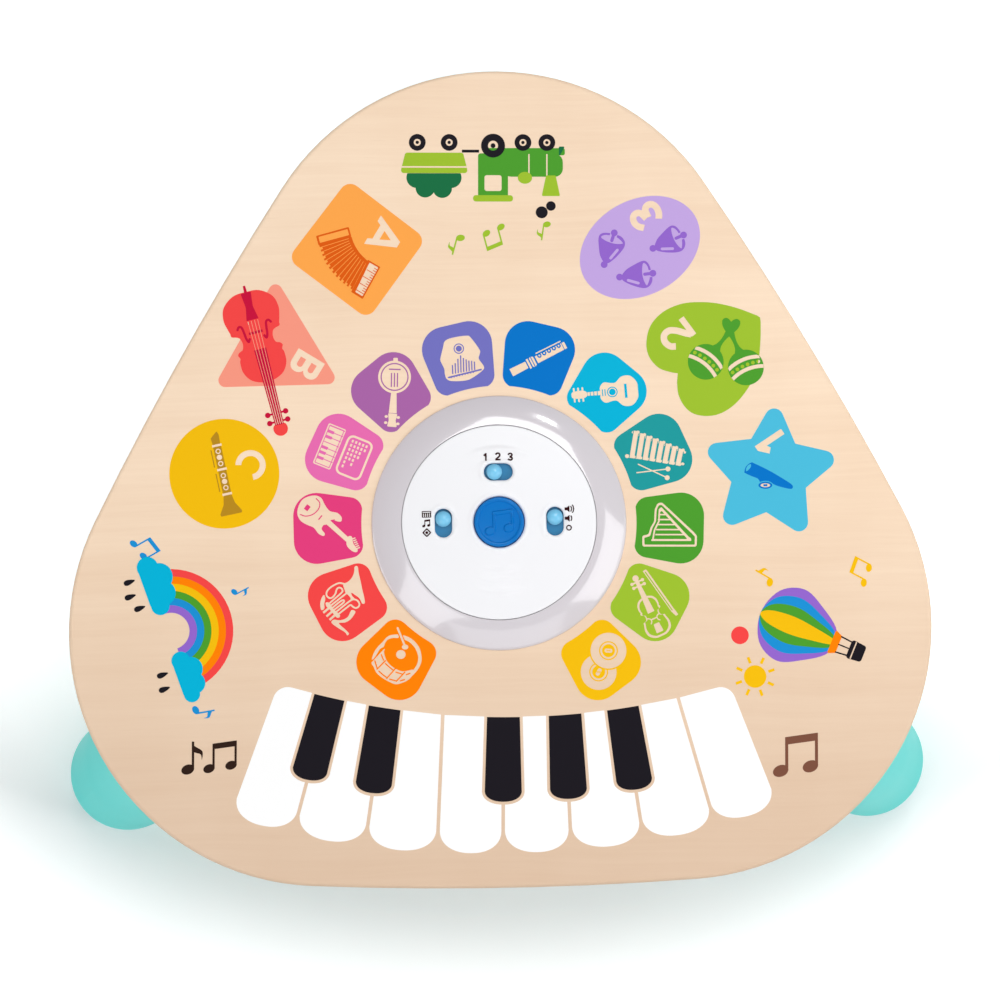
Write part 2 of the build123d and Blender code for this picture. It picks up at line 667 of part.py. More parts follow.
def button_dome():
    """The silicone dome that returns the button and closes its contact."""
    neck = PLUNGER_RADIUS
    profile = [
        (0, DOME_HEIGHT),
        (neck, DOME_HEIGHT),
        (DOME_BASE_RADIUS, DOME_WALL),
        (DOME_BASE_RADIUS + 2, DOME_WALL),
        (DOME_BASE_RADIUS + 2, 0),
        (DOME_BASE_RADIUS - DOME_WALL, 0),
        (neck - DOME_WALL, DOME_HEIGHT - DOME_WALL),
        (0, DOME_HEIGHT - DOME_WALL),
    ]
    return turned(profile, (0, DIAL_Y), TOP_FACE + CONTROL_BOARD_TOP)


def knob_rest(place, way):
    """A knob's place at rest, at the start of its travel."""
    return (place[0] - way[0] * KNOB_STEP, place[1] - way[1] * KNOB_STEP)


def shutter_top(place):
    """The upper face of a knob's shutter: clear of the cover's underside at the shutter's far corner."""
    length = SLOT_LENGTH / 2 + 2 * KNOB_STEP + SHUTTER_LAP
    reach = hypot(hypot(place[0], place[1] - DIAL_Y) + SHUTTER_WIDTH / 2, length)
    return cover_height(reach) - COVER_WALL - SHUTTER_GAP


def slide_knob(place, way):
    """A domed pin on a shutter plate that keeps the slot closed along the knob's whole travel."""
    rest = knob_rest(place, way)
    length = SLOT_LENGTH + 2 * (2 * KNOB_STEP + SHUTTER_LAP) - 2 * KNOB_STEP
    upper = TOP_FACE + shutter_top(place)
    plate = slab(slot_sketch(rest, way, length, SHUTTER_WIDTH), upper - SHUTTER_THICK, upper)
    pin_top = TOP_FACE + cover_height(hypot(place[0], place[1] - DIAL_Y)) + KNOB_STAND
    pin = drum(KNOB_RADIUS, upper - SHUTTER_THICK, pin_top - KNOB_RADIUS / 2, rest)
    ball_radius = (KNOB_RADIUS**2 + (KNOB_RADIUS / 2) ** 2) / KNOB_RADIUS
    ball = Pos(*rest, pin_top - ball_radius) * Sphere(ball_radius)
    pin += ball & drum(KNOB_RADIUS, pin_top - KNOB_RADIUS / 2, pin_top + 1, rest)
    return plate + pin


def switch_top():
    """The upper face of a slide switch on the control board."""
    return TOP_FACE + CONTROL_BOARD_TOP + SWITCH_BODY[2]


def slide_switch(place, way):
    """The switch on the control board, with a window for its lever."""
    turn = degrees(atan2(way[1], way[0]))
    at = Pos(*place, 0) * Rot(0, 0, turn)
    body = at * block(SWITCH_BODY, TOP_FACE + CONTROL_BOARD_TOP)
    window = (LEVER_SIZE + 2 * KNOB_STEP + 2 * LEVER_GAP, LEVER_SIZE + 2 * LEVER_GAP)
    cut = block((*window, SWITCH_WINDOW_DEPTH + 1), switch_top() - SWITCH_WINDOW_DEPTH)
    return body - at * cut


def switch_lever(place, way):
    """The switch's square lever, which reaches up to the knob's shutter and travels with it."""
    rest = knob_rest(place, way)
    bottom = switch_top() - SWITCH_WINDOW_DEPTH + LEVER_GAP
    top = TOP_FACE + shutter_top(place) - SHUTTER_THICK
    return block((LEVER_SIZE, LEVER_SIZE, top - bottom), bottom, rest)


def control_board_parts():
    """The chip and the lead's connector on the control board."""
    above = TOP_FACE + CONTROL_BOARD_TOP
    chip = block(CHIP_SIZE, above, (0, DIAL_Y - LANGUAGE_REACH))
    under = TOP_FACE + CONTROL_BOARD_UNDER - CONNECTOR_SIZE[2] / 2
    plug = block((*CONNECTOR_SIZE[:2], CONNECTOR_SIZE[2] / 2), under, dial_lead_exit())
    return group([chip, plug])


# ---------------------------------------------------------------- touch film and electrodes


def sensor_film():
    """The clear film glued under the top board, open around the dial."""
    hole = Pos(0, DIAL_Y) * Circle(TRAY_RADIUS + FILM_HOLE_GAP)
    return slab(outline(FILM_INSET) - hole, TOP_UNDER - FILM_THICK, TOP_UNDER)


def on_film(sketch):
    """Electrodes printed on the film's lower face."""
    return slab(sketch, TOP_UNDER - FILM_THICK - ELECTRODE_THICK, TOP_UNDER - FILM_THICK)


def key_line(index, y):
    """Where the line between two keys, which fans out towards the child, crosses the height y."""
    share = (y - KEY_TOP_Y) / (KEY_MIDDLE_Y - KEY_TOP_Y)
    return KEY_LINES_TOP[index] + share * (KEY_LINES_MIDDLE[index] - KEY_LINES_TOP[index])


def on_arch(x, middle_y):
    """A point of the arched line that crosses the keyboard's middle at middle_y."""
    return (x, middle_y + KEY_ARCH_RADIUS - sqrt(KEY_ARCH_RADIUS**2 - (x - KEYBOARD_X) ** 2))


def key_electrodes():
    """One patch per white key below the black keys, and one under each black key."""
    black_end = KEY_TOP_Y - BLACK_KEY_LENGTH
    upper = black_end - 2 * ELECTRODE_MARGIN
    lower = KEY_BOTTOM_Y + 3 * ELECTRODE_MARGIN
    patches = []
    for n in range(len(KEY_LINES_TOP) - 1):
        points = [
            on_arch(key_line(n, upper) + ELECTRODE_MARGIN, upper),
            on_arch(key_line(n, lower) + ELECTRODE_MARGIN, lower),
            on_arch(key_line(n + 1, lower) - ELECTRODE_MARGIN, lower),
            on_arch(key_line(n + 1, upper) - ELECTRODE_MARGIN, upper),
        ]
        patches.append(on_film(Polygon(*points, align=None)))
    for index, mark in enumerate(BLACK_KEY_PATTERN):
        if mark != "B":
            continue
        start = on_arch(key_line(index, KEY_TOP_Y), KEY_TOP_Y - ELECTRODE_MARGIN)
        end = on_arch(key_line(index, black_end), black_end + ELECTRODE_MARGIN)
        turn = degrees(atan2(end[1] - start[1], end[0] - start[0]))
        length = hypot(end[0] - start[0], end[1] - start[1])
        middle = Pos((start[0] + end[0]) / 2, (start[1] + end[1]) / 2)
        width = BLACK_KEY_WIDTH - 2 * ELECTRODE_MARGIN
        patches.append(on_film(middle * Rot(0, 0, turn) * Rectangle(length, width)))
    return group(patches)


def tile_angle(index):
    """The direction of an instrument tile from the dial's centre, counted from the front left round to the right."""
    return 90 + TILE_PITCH_ANGLE * ((TILE_COUNT - 1) / 2 - index)


def tile_electrodes():
    """One curved patch under each instrument tile around the dial."""
    inner = TILE_INNER_RADIUS + ELECTRODE_MARGIN
    outer = TILE_OUTER_RADIUS - ELECTRODE_MARGIN
    half = TILE_HALF_ANGLE - degrees(asin(ELECTRODE_MARGIN / TILE_OUTER_RADIUS))
    patches = []
    for index in range(TILE_COUNT):
        angle = tile_angle(index)
        low, high = angle - half, angle + half
        edges = [
            Line(polar(inner, low), polar(outer, low)),
            ThreePointArc(polar(outer, low), polar(outer, angle), polar(outer, high)),
            Line(polar(outer, high), polar(inner, high)),
            ThreePointArc(polar(inner, high), polar(inner, angle), polar(inner, low)),
        ]
        patches.append(on_film(Pos(0, DIAL_Y) * make_face(Wire(edges))))
    return group(patches)


def shape_electrodes():
    """A round patch under each printed shape and each corner picture."""
    patches = [on_film(Pos(*place) * Circle(SHAPE_PAD_RADIUS)) for place in SHAPE_PAD_PLACES.values()]
    for angle in PICTURE_PAD_ANGLES:
        patches.append(on_film(Pos(*polar(PICTURE_REACH, angle)) * Circle(PICTURE_PAD_RADIUS)))
    return group(patches)


# ---------------------------------------------------------------- speaker


def speaker_screw_places():
    """Four screws through the speaker's flange."""
    return [polar(SPEAKER_SCREW_CIRCLE, a, SPEAKER_PLACE) for a in TRAY_SCREW_ANGLES]


def speaker_gasket():
    """The foam ring between the speaker and the base board."""
    ring = drum(SPEAKER_RADIUS, BASE_TOP, BASE_TOP + GASKET_THICK, SPEAKER_PLACE)
    ring -= drum(SPEAKER_CONE_RADIUS, BASE_TOP - 1, BASE_TOP + GASKET_THICK + 1, SPEAKER_PLACE)
    for place in speaker_screw_places():
        ring -= drum(BOARD_SCREW_RADIUS, BASE_TOP - 1, BASE_TOP + GASKET_THICK + 1, place)
    return ring


def speaker_basket():
    """The steel basket, flange down, open towards the grille."""
    depth = SPEAKER_BASKET_DEPTH
    profile = [
        (SPEAKER_CONE_RADIUS, 0),
        (SPEAKER_RADIUS, 0),
        (SPEAKER_RADIUS, SPEAKER_FLANGE_THICK),
        (SPEAKER_CONE_RADIUS + SPEAKER_WALL, SPEAKER_FLANGE_THICK),
        (SPEAKER_NECK_RADIUS + SPEAKER_WALL, depth),
        (0, depth),
        (0, depth - SPEAKER_WALL),
        (SPEAKER_NECK_RADIUS, depth - SPEAKER_WALL),
        (SPEAKER_CONE_RADIUS, SPEAKER_FLANGE_THICK),
    ]
    basket = turned(profile, SPEAKER_PLACE, BASE_TOP + GASKET_THICK)
    for place in speaker_screw_places():
        basket -= drum(BOARD_SCREW_RADIUS, BASE_TOP, BASE_TOP + 2 * SPEAKER_BASKET_DEPTH, place)
    return basket


def speaker_cone():
    """The paper cone with its dust cap, glued inside the basket's flange."""
    neck = SPEAKER_NECK_RADIUS - 4
    deep = SPEAKER_BASKET_DEPTH - 3 * SPEAKER_WALL
    profile = [
        (0, deep),
        (neck, deep),
        (SPEAKER_CONE_RADIUS, SPEAKER_WALL),
        (SPEAKER_CONE_RADIUS, 0),
        (SPEAKER_CONE_RADIUS - SPEAKER_WALL, 0),
        (neck, deep - SPEAKER_WALL),
        (0, deep - 2.5 * SPEAKER_WALL),
    ]
    return turned(profile, SPEAKER_PLACE, BASE_TOP + GASKET_THICK)


def speaker_magnet():
    """The magnet on the basket's back."""
    level = BASE_TOP + GASKET_THICK + SPEAKER_BASKET_DEPTH
    magnet = drum(MAGNET_RADIUS, level, level + MAGNET_HEIGHT, SPEAKER_PLACE)
    return chamfer(magnet.faces().sort_by(Axis.Z)[-1].edges(), SPEAKER_WALL / 2)


def speaker_screw(place):
    """A small screw down through the speaker's flange into the base board."""
    return screw_from_above(
        place,
        BASE_TOP + GASKET_THICK + SPEAKER_FLANGE_THICK,
        BOARD_SCREW_RADIUS,
        SPEAKER_SCREW_LENGTH,
        BOARD_SCREW_HEAD_RADIUS,
        BOARD_SCREW_HEAD_HEIGHT,
    )


# ---------------------------------------------------------------- batteries


def cell_bay():
    """The clear space that the three cells and their contacts need, along X and Y."""
    return (CELL_LENGTH + CELL_NUB_LENGTH + 2 * CONTACT_ROOM, 3 * CELL_PITCH)


def door_size():
    """The battery door, along X and Y."""
    return (cell_bay()[0] + 2 * DOOR_END_LAP, cell_bay()[1] + 2)


def door_opening():
    """The opening in the base board that the door fills."""
    return (door_size()[0] + 2 * DOOR_GAP, door_size()[1] + 2 * DOOR_GAP)


def box_roof():
    """The inside of the battery box's roof: the cells reach from the door's inner face up to here."""
    return BASE_UNDER + DOOR_THICK + 2 * CELL_RADIUS + 0.6


def box_screw_places():
    """The four screws through the battery box's flange."""
    reach_x = door_opening()[0] / 2 - 6
    reach_y = door_opening()[1] / 2 + BOX_FLANGE_WIDTH / 2
    x, y = BATTERY_PLACE
    return [(x + i * reach_x, y + j * reach_y) for i in (-1, 1) for j in (-1, 1)]


def door_screw_places():
    """The two screws at the ends of the battery door."""
    reach = door_size()[0] / 2 - DOOR_END_LAP / 2
    return {
        "left": (BATTERY_PLACE[0] - reach, BATTERY_PLACE[1]),
        "right": (BATTERY_PLACE[0] + reach, BATTERY_PLACE[1]),
    }


def battery_box():
    """The plastic box over the opening: a flange on the base board, a bay for the cells and two screw posts."""
    wide, deep = door_opening()
    bay = cell_bay()
    flange_size = (wide + 2 * BOX_WALL, deep + 2 * BOX_FLANGE_WIDTH, BOX_FLANGE_THICK)
    box = block(flange_size, BASE_TOP, BATTERY_PLACE)
    shell_top = box_roof() + BOX_WALL
    box += block((bay[0] + 2 * BOX_WALL, bay[1] + 2 * BOX_WALL, shell_top - BASE_TOP), BASE_TOP, BATTERY_PLACE)
    box -= block((*bay, box_roof() - BASE_TOP + 1), BASE_TOP - 1, BATTERY_PLACE)
    for place in door_screw_places().values():
        post_top = BASE_UNDER + DOOR_THICK + DOOR_SCREW_LENGTH + BOX_FLANGE_THICK
        box += drum(DOOR_POST_RADIUS, BASE_UNDER + DOOR_THICK, post_top, place)
        hole = DOOR_SCREW_RADIUS + DOOR_SCREW_CLEAR
        box -= drum(hole, BASE_UNDER, post_top - 1, place)
    for place in box_screw_places():
        box -= drum(BOARD_SCREW_RADIUS, BASE_TOP - 1, BASE_TOP + BOX_FLANGE_THICK + 1, place)
    return box


def box_screw(place):
    """A small screw down through the battery box's flange into the base board."""
    return screw_from_above(
        place,
        BASE_TOP + BOX_FLANGE_THICK,
        BOARD_SCREW_RADIUS,
        BOX_SCREW_LENGTH,
        BOARD_SCREW_HEAD_RADIUS,
        BOARD_SCREW_HEAD_HEIGHT,
    )


def cell_rows():
    """Each cell's line across the bay, and the way that its positive end points along X."""
    y = BATTERY_PLACE[1]
    return {"front": (y - CELL_PITCH, 1), "middle": (y, -1), "rear": (y + CELL_PITCH, 1)}


def cell_level():
    """The height of the cells' axes."""
    return box_roof() - 0.3 - CELL_RADIUS


def battery(row):
    """An AA cell with its positive nub, lying along X."""
    y, way = cell_rows()[row]
    body = Cylinder(CELL_RADIUS, CELL_LENGTH)
    body = fillet(body.edges().filter_by(GeomType.CIRCLE), 0.6)
    nub_centre = CELL_LENGTH / 2 + CELL_NUB_LENGTH / 2 - 0.1
    body += Pos(0, 0, nub_centre) * Cylinder(CELL_NUB_RADIUS, CELL_NUB_LENGTH + 0.2)
    return Pos(BATTERY_PLACE[0], y, cell_level()) * Rot(0, 90 * way, 0) * body


def contact_plates():
    """Six steel contact plates on the end walls of the bay."""
    plates = []
    for y, _ in cell_rows().values():
        for side in (-1, 1):
            x = BATTERY_PLACE[0] + side * (cell_bay()[0] / 2 - CONTACT_PLATE_THICK / 2)
            size = (CONTACT_PLATE_THICK, CONTACT_PLATE_SIZE, CONTACT_PLATE_SIZE)
            plates.append(block(size, cell_level() - CONTACT_PLATE_SIZE / 2, (x, y)))
    return group(plates)


def contact_springs():
    """One coil per cell at its flat end, and a stud at its nub, so that each cell is held between two contacts."""
    pieces = []
    end = cell_bay()[0] / 2 - CONTACT_PLATE_THICK
    for y, way in cell_rows().values():
        room = end - CELL_LENGTH / 2
        length = room - 2 * SPRING_WIRE_RADIUS
        coil = Helix(length / SPRING_TURNS, length, SPRING_RADIUS)
        start = Plane(origin=coil @ 0, z_dir=coil % 0)
        wire = sweep(start * Circle(SPRING_WIRE_RADIUS), path=coil)
        base = BATTERY_PLACE[0] - way * (end - SPRING_WIRE_RADIUS)
        pieces.append(Pos(base, y, cell_level()) * Rot(0, 90 * way, 0) * wire)
        stud = room - CELL_NUB_LENGTH
        centre = BATTERY_PLACE[0] + way * (end - stud / 2)
        pieces.append(Pos(centre, y, cell_level()) * Rot(0, 90, 0) * Cylinder(CELL_NUB_RADIUS, stud))
    return group(pieces)


def battery_door():
    """The flush door, with grip ribs and a hole and a head recess for each of its two screws."""
    door = block((*door_size(), DOOR_THICK), BASE_UNDER, BATTERY_PLACE)
    door = fillet(door.edges().filter_by(Axis.Z), 2)
    for n in range(DOOR_RIB_COUNT):
        y = BATTERY_PLACE[1] + (n - (DOOR_RIB_COUNT - 1) / 2) * 3
        rib = (CELL_LENGTH / 2, DOOR_RIB_HEIGHT, DOOR_RIB_HEIGHT)
        door -= block(rib, BASE_UNDER, (BATTERY_PLACE[0], y))
    for place in door_screw_places().values():
        head = DOOR_SCREW_HEAD_RADIUS + DOOR_SCREW_CLEAR
        door -= drum(head, BASE_UNDER - 1, BASE_UNDER + DOOR_SCREW_HEAD_HEIGHT, place)
        door -= drum(DOOR_SCREW_RADIUS + DOOR_SCREW_CLEAR, BASE_UNDER, BASE_TOP, place)
    return door


def door_screw(side):
    """A captive screw in the battery door."""
    return screw_from_below(
        door_screw_places()[side],
        BASE_UNDER + DOOR_SCREW_HEAD_HEIGHT,
        DOOR_SCREW_RADIUS,
        DOOR_SCREW_LENGTH,
        DOOR_SCREW_HEAD_RADIUS,
        DOOR_SCREW_HEAD_HEIGHT,
    )


# ---------------------------------------------------------------- main circuit board and leads


def main_hole_places():
    """The four mounting holes of the main circuit board."""
    x, y = MAIN_BOARD_PLACE
    reach_x = MAIN_BOARD_SIZE[0] / 2 - MAIN_HOLE_MARGIN
    reach_y = MAIN_BOARD_SIZE[1] / 2 - MAIN_HOLE_MARGIN
    return [(x + i * reach_x, y + j * reach_y) for i in (-1, 1) for j in (-1, 1)]


def main_board_level():
    """The underside of the main circuit board."""
    return BASE_TOP + MAIN_STANDOFF_HEIGHT


def main_board():
    """The main circuit board, drilled for its four screws."""
    level = main_board_level()
    board = block((*MAIN_BOARD_SIZE, CIRCUIT_THICK), level, MAIN_BOARD_PLACE)
    for place in main_hole_places():
        board -= drum(BOARD_SCREW_RADIUS, level - 1, level + CIRCUIT_THICK + 1, place)
    return board


def board_standoff(place):
    """A spacer sleeve under one corner of the main circuit board."""
    sleeve = drum(STANDOFF_RADIUS, BASE_TOP, main_board_level(), place)
    return sleeve - drum(BOARD_SCREW_RADIUS, BASE_TOP - 1, main_board_level() + 1, place)


def main_board_screw(place):
    """A screw down through the board and its spacer into the base board."""
    return screw_from_above(
        place,
        main_board_level() + CIRCUIT_THICK,
        BOARD_SCREW_RADIUS,
        CIRCUIT_THICK + MAIN_STANDOFF_HEIGHT + 3,
        BOARD_SCREW_HEAD_RADIUS,
        BOARD_SCREW_HEAD_HEIGHT,
    )


def ribbon_start():
    """Where the touch film's tail leaves the film: just outside the tiles' ring, over the main board."""
    y = MAIN_BOARD_PLACE[1]
    return (sqrt(TILE_OUTER_RADIUS**2 - (y - DIAL_Y) ** 2), y)


def ribbon_fold_x():
    """Where the tail turns down."""
    return ribbon_start()[0] + RIBBON_WIDTH / 2


def connector_places():
    """The main board's connectors: one for each lead, and a wide one where the touch film's tail ends."""
    x, y = MAIN_BOARD_PLACE
    edge = x - MAIN_BOARD_SIZE[0] / 2 + CONNECTOR_SIZE[0] / 2
    lower = y - MAIN_BOARD_SIZE[1] / 2 + CONNECTOR_SIZE[0] / 2
    return {
        "speaker": (edge, y + 9),
        "dial": (edge, y - 9),
        "battery": (x - 9, lower),
        "film": (ribbon_fold_x() + RIBBON_FOOT + CONNECTOR_SIZE[1] / 2, y),
    }


def main_board_parts():
    """The sound chip, a capacitor and the connectors, each soldered on the main board."""
    face = main_board_level() + CIRCUIT_THICK
    places = connector_places()
    x, y = MAIN_BOARD_PLACE
    chip_x = places["dial"][0] + CONNECTOR_SIZE[0] / 2 + PART_GAP + CHIP_SIZE[0] / 2
    capacitor = (x + CAPACITOR_OFFSET[0], y + CAPACITOR_OFFSET[1])
    parts = [block(CHIP_SIZE, face, (chip_x, y))]
    parts.append(drum(CAPACITOR_RADIUS, face, face + CAPACITOR_HEIGHT, capacitor))
    for name in ("speaker", "dial"):
        parts.append(block(CONNECTOR_SIZE, face, places[name]))
    long, short, tall = CONNECTOR_SIZE
    parts.append(block((short, long, tall), face, places["battery"]))
    parts.append(block((short, RIBBON_WIDTH + 2, tall / 2), face, places["film"]))
    return group(parts)


def lead(points):
    """A round lead on straight runs joined by tangent arcs, each arc as large as its two runs allow."""
    route = [Vector(*p) for p in points]
    radii = []
    for before, corner, after in zip(route, route[1:], route[2:]):
        turn = (corner - before).get_angle(after - corner)
        run = min((corner - before).length, (after - corner).length)
        half = radians(turn / 2)
        radii.append(0.45 * run * cos(half) / sin(half))
    path = FilletPolyline(*route, radius=radii)
    start = Plane(origin=path @ 0, z_dir=path % 0)
    return sweep(start * Circle(LEAD_RADIUS), path=path)


def speaker_lead():
    """From the speaker's back edge across the hollow to the main board."""
    x, y = connector_places()["speaker"]
    level = main_board_level() + CIRCUIT_THICK + CONNECTOR_SIZE[2] / 2
    start_x = SPEAKER_PLACE[0] + MAGNET_RADIUS
    height = BASE_TOP + GASKET_THICK + SPEAKER_BASKET_DEPTH + MAGNET_HEIGHT / 2
    end_x = x - CONNECTOR_SIZE[0] / 2
    return lead(
        [
            (start_x, SPEAKER_PLACE[1], height),
            (start_x + 20, SPEAKER_PLACE[1], height),
            (start_x + 52, y - 14, BASE_TOP + 8),
            (start_x + 92, y - 4, BASE_TOP + 5),
            (end_x - 22, y, level),
            (end_x, y, level),
        ]
    )


def battery_lead():
    """From the battery box's right wall up to the main board's lower edge."""
    x, y = connector_places()["battery"]
    level = main_board_level() + CIRCUIT_THICK + CONNECTOR_SIZE[2] / 2
    start_x = BATTERY_PLACE[0] + cell_bay()[0] / 2 + BOX_WALL
    start_y = BATTERY_PLACE[1] + CELL_PITCH
    end_y = y - CONNECTOR_SIZE[0] / 2
    return lead(
        [
            (start_x, start_y, cell_level()),
            (start_x + 16, start_y, cell_level()),
            (x - 22, start_y + 26, BASE_TOP + 6),
            (x, end_y - 28, level),
            (x, end_y, level),
        ]
    )


def dial_lead():
    """From the control board down through the tray's floor and across to the main board."""
    x, y = connector_places()["dial"]
    level = main_board_level() + CIRCUIT_THICK + CONNECTOR_SIZE[2] / 2
    start_x, start_y = dial_lead_exit()
    top = TOP_FACE + CONTROL_BOARD_UNDER - CONNECTOR_SIZE[2] / 2
    end_x = x - CONNECTOR_SIZE[0] / 2
    return lead(
        [
            (start_x, start_y, top),
            (start_x, start_y, top - 12),
            (start_x + 12, start_y + 6, level - 1),
            (end_x - 12, y, level),
            (end_x, y, level),
        ]
    )


def sensor_ribbon():
    """The touch film's tail: from the film, between a tile's and a shape's patch, down to the main board."""
    start_x, y = ribbon_start()
    fold_x = ribbon_fold_x()
    upper = TOP_UNDER - FILM_THICK * 3 / 2
    lower = main_board_level() + CIRCUIT_THICK + CONNECTOR_SIZE[2] / 4
    path = FilletPolyline(
        (start_x, y, upper),
        (fold_x, y, upper),
        (fold_x, y, lower),
        (fold_x + RIBBON_FOOT, y, lower),
        radius=RIBBON_WIDTH / 4,
    )
    start = Plane(origin=path @ 0, z_dir=path % 0, x_dir=(0, 1, 0))
    return sweep(start * Rectangle(RIBBON_WIDTH, FILM_THICK), path=path)


# ---------------------------------------------------------------- assembly


def build_nodes():
    """Every node by name, placed about the legs' common centre."""
    nodes = {
        "top_board": top_board(),
        "side_frame": side_frame(),
        "base_board": base_board(),
        "base_screws": group(base_screw(p) for p in base_screw_places()),
    }
    bolts = [p for a in CORNERS.values() for p in leg_bolt_places(a)]
    nodes["leg_screws"] = group(leg_screw(p) for p in bolts)
    nodes["threaded_inserts"] = group(threaded_insert(p) for p in bolts)
    for corner, angle in CORNERS.items():
        nodes[f"corner_block_{corner}"] = corner_block(angle)
        nodes[f"leg_{corner}"] = leg(angle)
        nodes[f"foot_pad_{corner}"] = foot_pad(angle)

    nodes["bezel_ring"] = bezel_ring()
    nodes["dial_cover"] = dial_cover()
    nodes["dial_tray"] = dial_tray()
    nodes["tray_screws"] = group(tray_screw(p) for p in tray_screw_places())
    nodes["control_board"] = control_board()
    nodes["control_board_screws"] = group(control_board_screw(p) for p in control_standoff_places())
    nodes["control_board_parts"] = control_board_parts()
    nodes["play_button"] = play_button()
    nodes["button_dome"] = button_dome()
    nodes["slide_switches"] = group(slide_switch(*where) for where in switch_places().values())
    for name, where in switch_places().items():
        nodes[f"{name}_knob"] = slide_knob(*where)
        nodes[f"{name}_lever"] = switch_lever(*where)

    nodes["sensor_film"] = sensor_film()
    nodes["key_electrodes"] = key_electrodes()
    nodes["tile_electrodes"] = tile_electrodes()
    nodes["shape_electrodes"] = shape_electrodes()
    nodes["sensor_ribbon"] = sensor_ribbon()

    nodes["speaker_gasket"] = speaker_gasket()
    nodes["speaker_basket"] = speaker_basket()
    nodes["speaker_cone"] = speaker_cone()
    nodes["speaker_magnet"] = speaker_magnet()
    nodes["speaker_screws"] = group(speaker_screw(p) for p in speaker_screw_places())

    nodes["battery_box"] = battery_box()
    nodes["battery_box_screws"] = group(box_screw(p) for p in box_screw_places())
    for row in cell_rows():
        nodes[f"battery_{row}"] = battery(row)
    nodes["contact_plates"] = contact_plates()
    nodes["contact_springs"] = contact_springs()
    nodes["battery_door"] = battery_door()
    for side in door_screw_places():
        nodes[f"door_screw_{side}"] = door_screw(side)

    nodes["main_board"] = main_board()
    nodes["main_board_parts"] = main_board_parts()
    nodes["board_standoffs"] = group(board_standoff(p) for p in main_hole_places())
    nodes["main_board_screws"] = group(main_board_screw(p) for p in main_hole_places())
    nodes["speaker_lead"] = speaker_lead()
    nodes["battery_lead"] = battery_lead()
    nodes["dial_lead"] = dial_lead()
    return nodes


def box_centre_y():
    """The middle of the table's box along Y: from the top's front edge, or the front feet, to the back foot."""
    foot_front = -FOOT_REACH / 2 - FOOT_RADIUS
    front = min(BOX_Y - SIDE_REACH, foot_front)
    back = max(BOX_Y + CORNER_REACH + CORNER_RADIUS, FOOT_REACH + FOOT_RADIUS)
    return (front + back) / 2


SHIFT = -box_centre_y()
NODES = {name: Pos(0, SHIFT, 0) * shape for name, shape in build_nodes().items()}

os.makedirs("parts", exist_ok=True)
for node_name, node_shape in NODES.items():
    export_step(node_shape, f"parts/{node_name}.step")
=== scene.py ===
"""Looks of the musical activity table: wood, inks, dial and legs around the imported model.

Shapes are given in table millimetres: X and Y from the middle of the rounded-triangle top, Z up from its face, with
the piano keys towards -Y. place() turns them into the frame's metres. Inks are flat outlines. Each outline either
lays ink or leaves the wood bare, and the last one over a spot decides.
"""
from math import atan2, cos, degrees, hypot, pi, radians, sin

import bmesh
import bpy
import numpy as np
from mathutils import Matrix, Vector
from mathutils.geometry import delaunay_2d_cdt

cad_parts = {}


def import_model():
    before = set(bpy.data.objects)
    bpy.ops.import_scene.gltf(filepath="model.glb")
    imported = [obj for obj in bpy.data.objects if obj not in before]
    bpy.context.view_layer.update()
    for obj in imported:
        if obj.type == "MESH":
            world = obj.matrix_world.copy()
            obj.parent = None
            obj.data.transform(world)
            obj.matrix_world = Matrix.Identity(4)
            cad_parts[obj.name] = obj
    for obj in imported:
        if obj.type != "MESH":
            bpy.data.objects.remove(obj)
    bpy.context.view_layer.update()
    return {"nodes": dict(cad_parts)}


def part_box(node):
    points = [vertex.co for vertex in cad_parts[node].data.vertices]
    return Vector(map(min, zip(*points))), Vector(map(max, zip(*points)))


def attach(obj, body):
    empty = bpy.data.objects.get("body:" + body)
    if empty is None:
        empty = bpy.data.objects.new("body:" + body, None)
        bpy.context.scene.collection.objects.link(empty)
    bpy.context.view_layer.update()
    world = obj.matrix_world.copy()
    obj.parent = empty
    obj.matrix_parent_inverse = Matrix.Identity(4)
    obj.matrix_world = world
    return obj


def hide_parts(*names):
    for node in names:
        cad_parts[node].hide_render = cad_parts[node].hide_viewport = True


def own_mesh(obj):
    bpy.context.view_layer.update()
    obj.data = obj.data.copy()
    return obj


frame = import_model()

# ---------------------------------------------------------------- sizes, in millimetres
MM = 0.001
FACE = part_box("top_board")[1].z / MM
ring_low, ring_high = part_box("bezel_ring")
DIAL_Y = 4.0
MIDDLE_X = (ring_low.x + ring_high.x) / 2 / MM
MIDDLE_Y = (ring_low.y + ring_high.y) / 2 / MM - DIAL_Y
PRINT_TURN = -1.05  # degrees: the printed sheet lies a little askew on the board
INK = 0.05
SIGN_GRID = 0.3  # between the points of an ink that follows a curved ground
DOUBLES = 2e-6  # in metres: points closer than this are one
SIDE_REACH = 210.0  # from the middle to the table's side, on average

RING_RADIUS, RING_BORE = 63.5, 48.6
RING_LIP, RING_RISE, RING_BULGE = 0.9, 6.6, 0.9
LEDGE_BORE, LEDGE_TOP, LEDGE_FOOT = 45.5, 2.2, 0.4
SKIRT_RADIUS, SKIRT_BORE, SKIRT_FOOT = 55.6, 53.2, -11.0
COVER_RADIUS, COVER_DOME, COVER_WALL = 48.3, 2.4, 2.2
SLOT_LENGTH, SLOT_WIDTH = 14.4, 8.6
SLOTS = {"language": (0.0, 25.0, 0.0), "mode": (-27.7, 0.0, 90.0), "volume": (27.7, 0.0, 90.0)}  # x, y, turn
SHUTTER_THICK = 1.4
BUTTON_RADIUS, BUTTON_HOLE = 12.3, 12.75
BUTTON_STAND, BUTTON_DISH = 1.2, 0.3


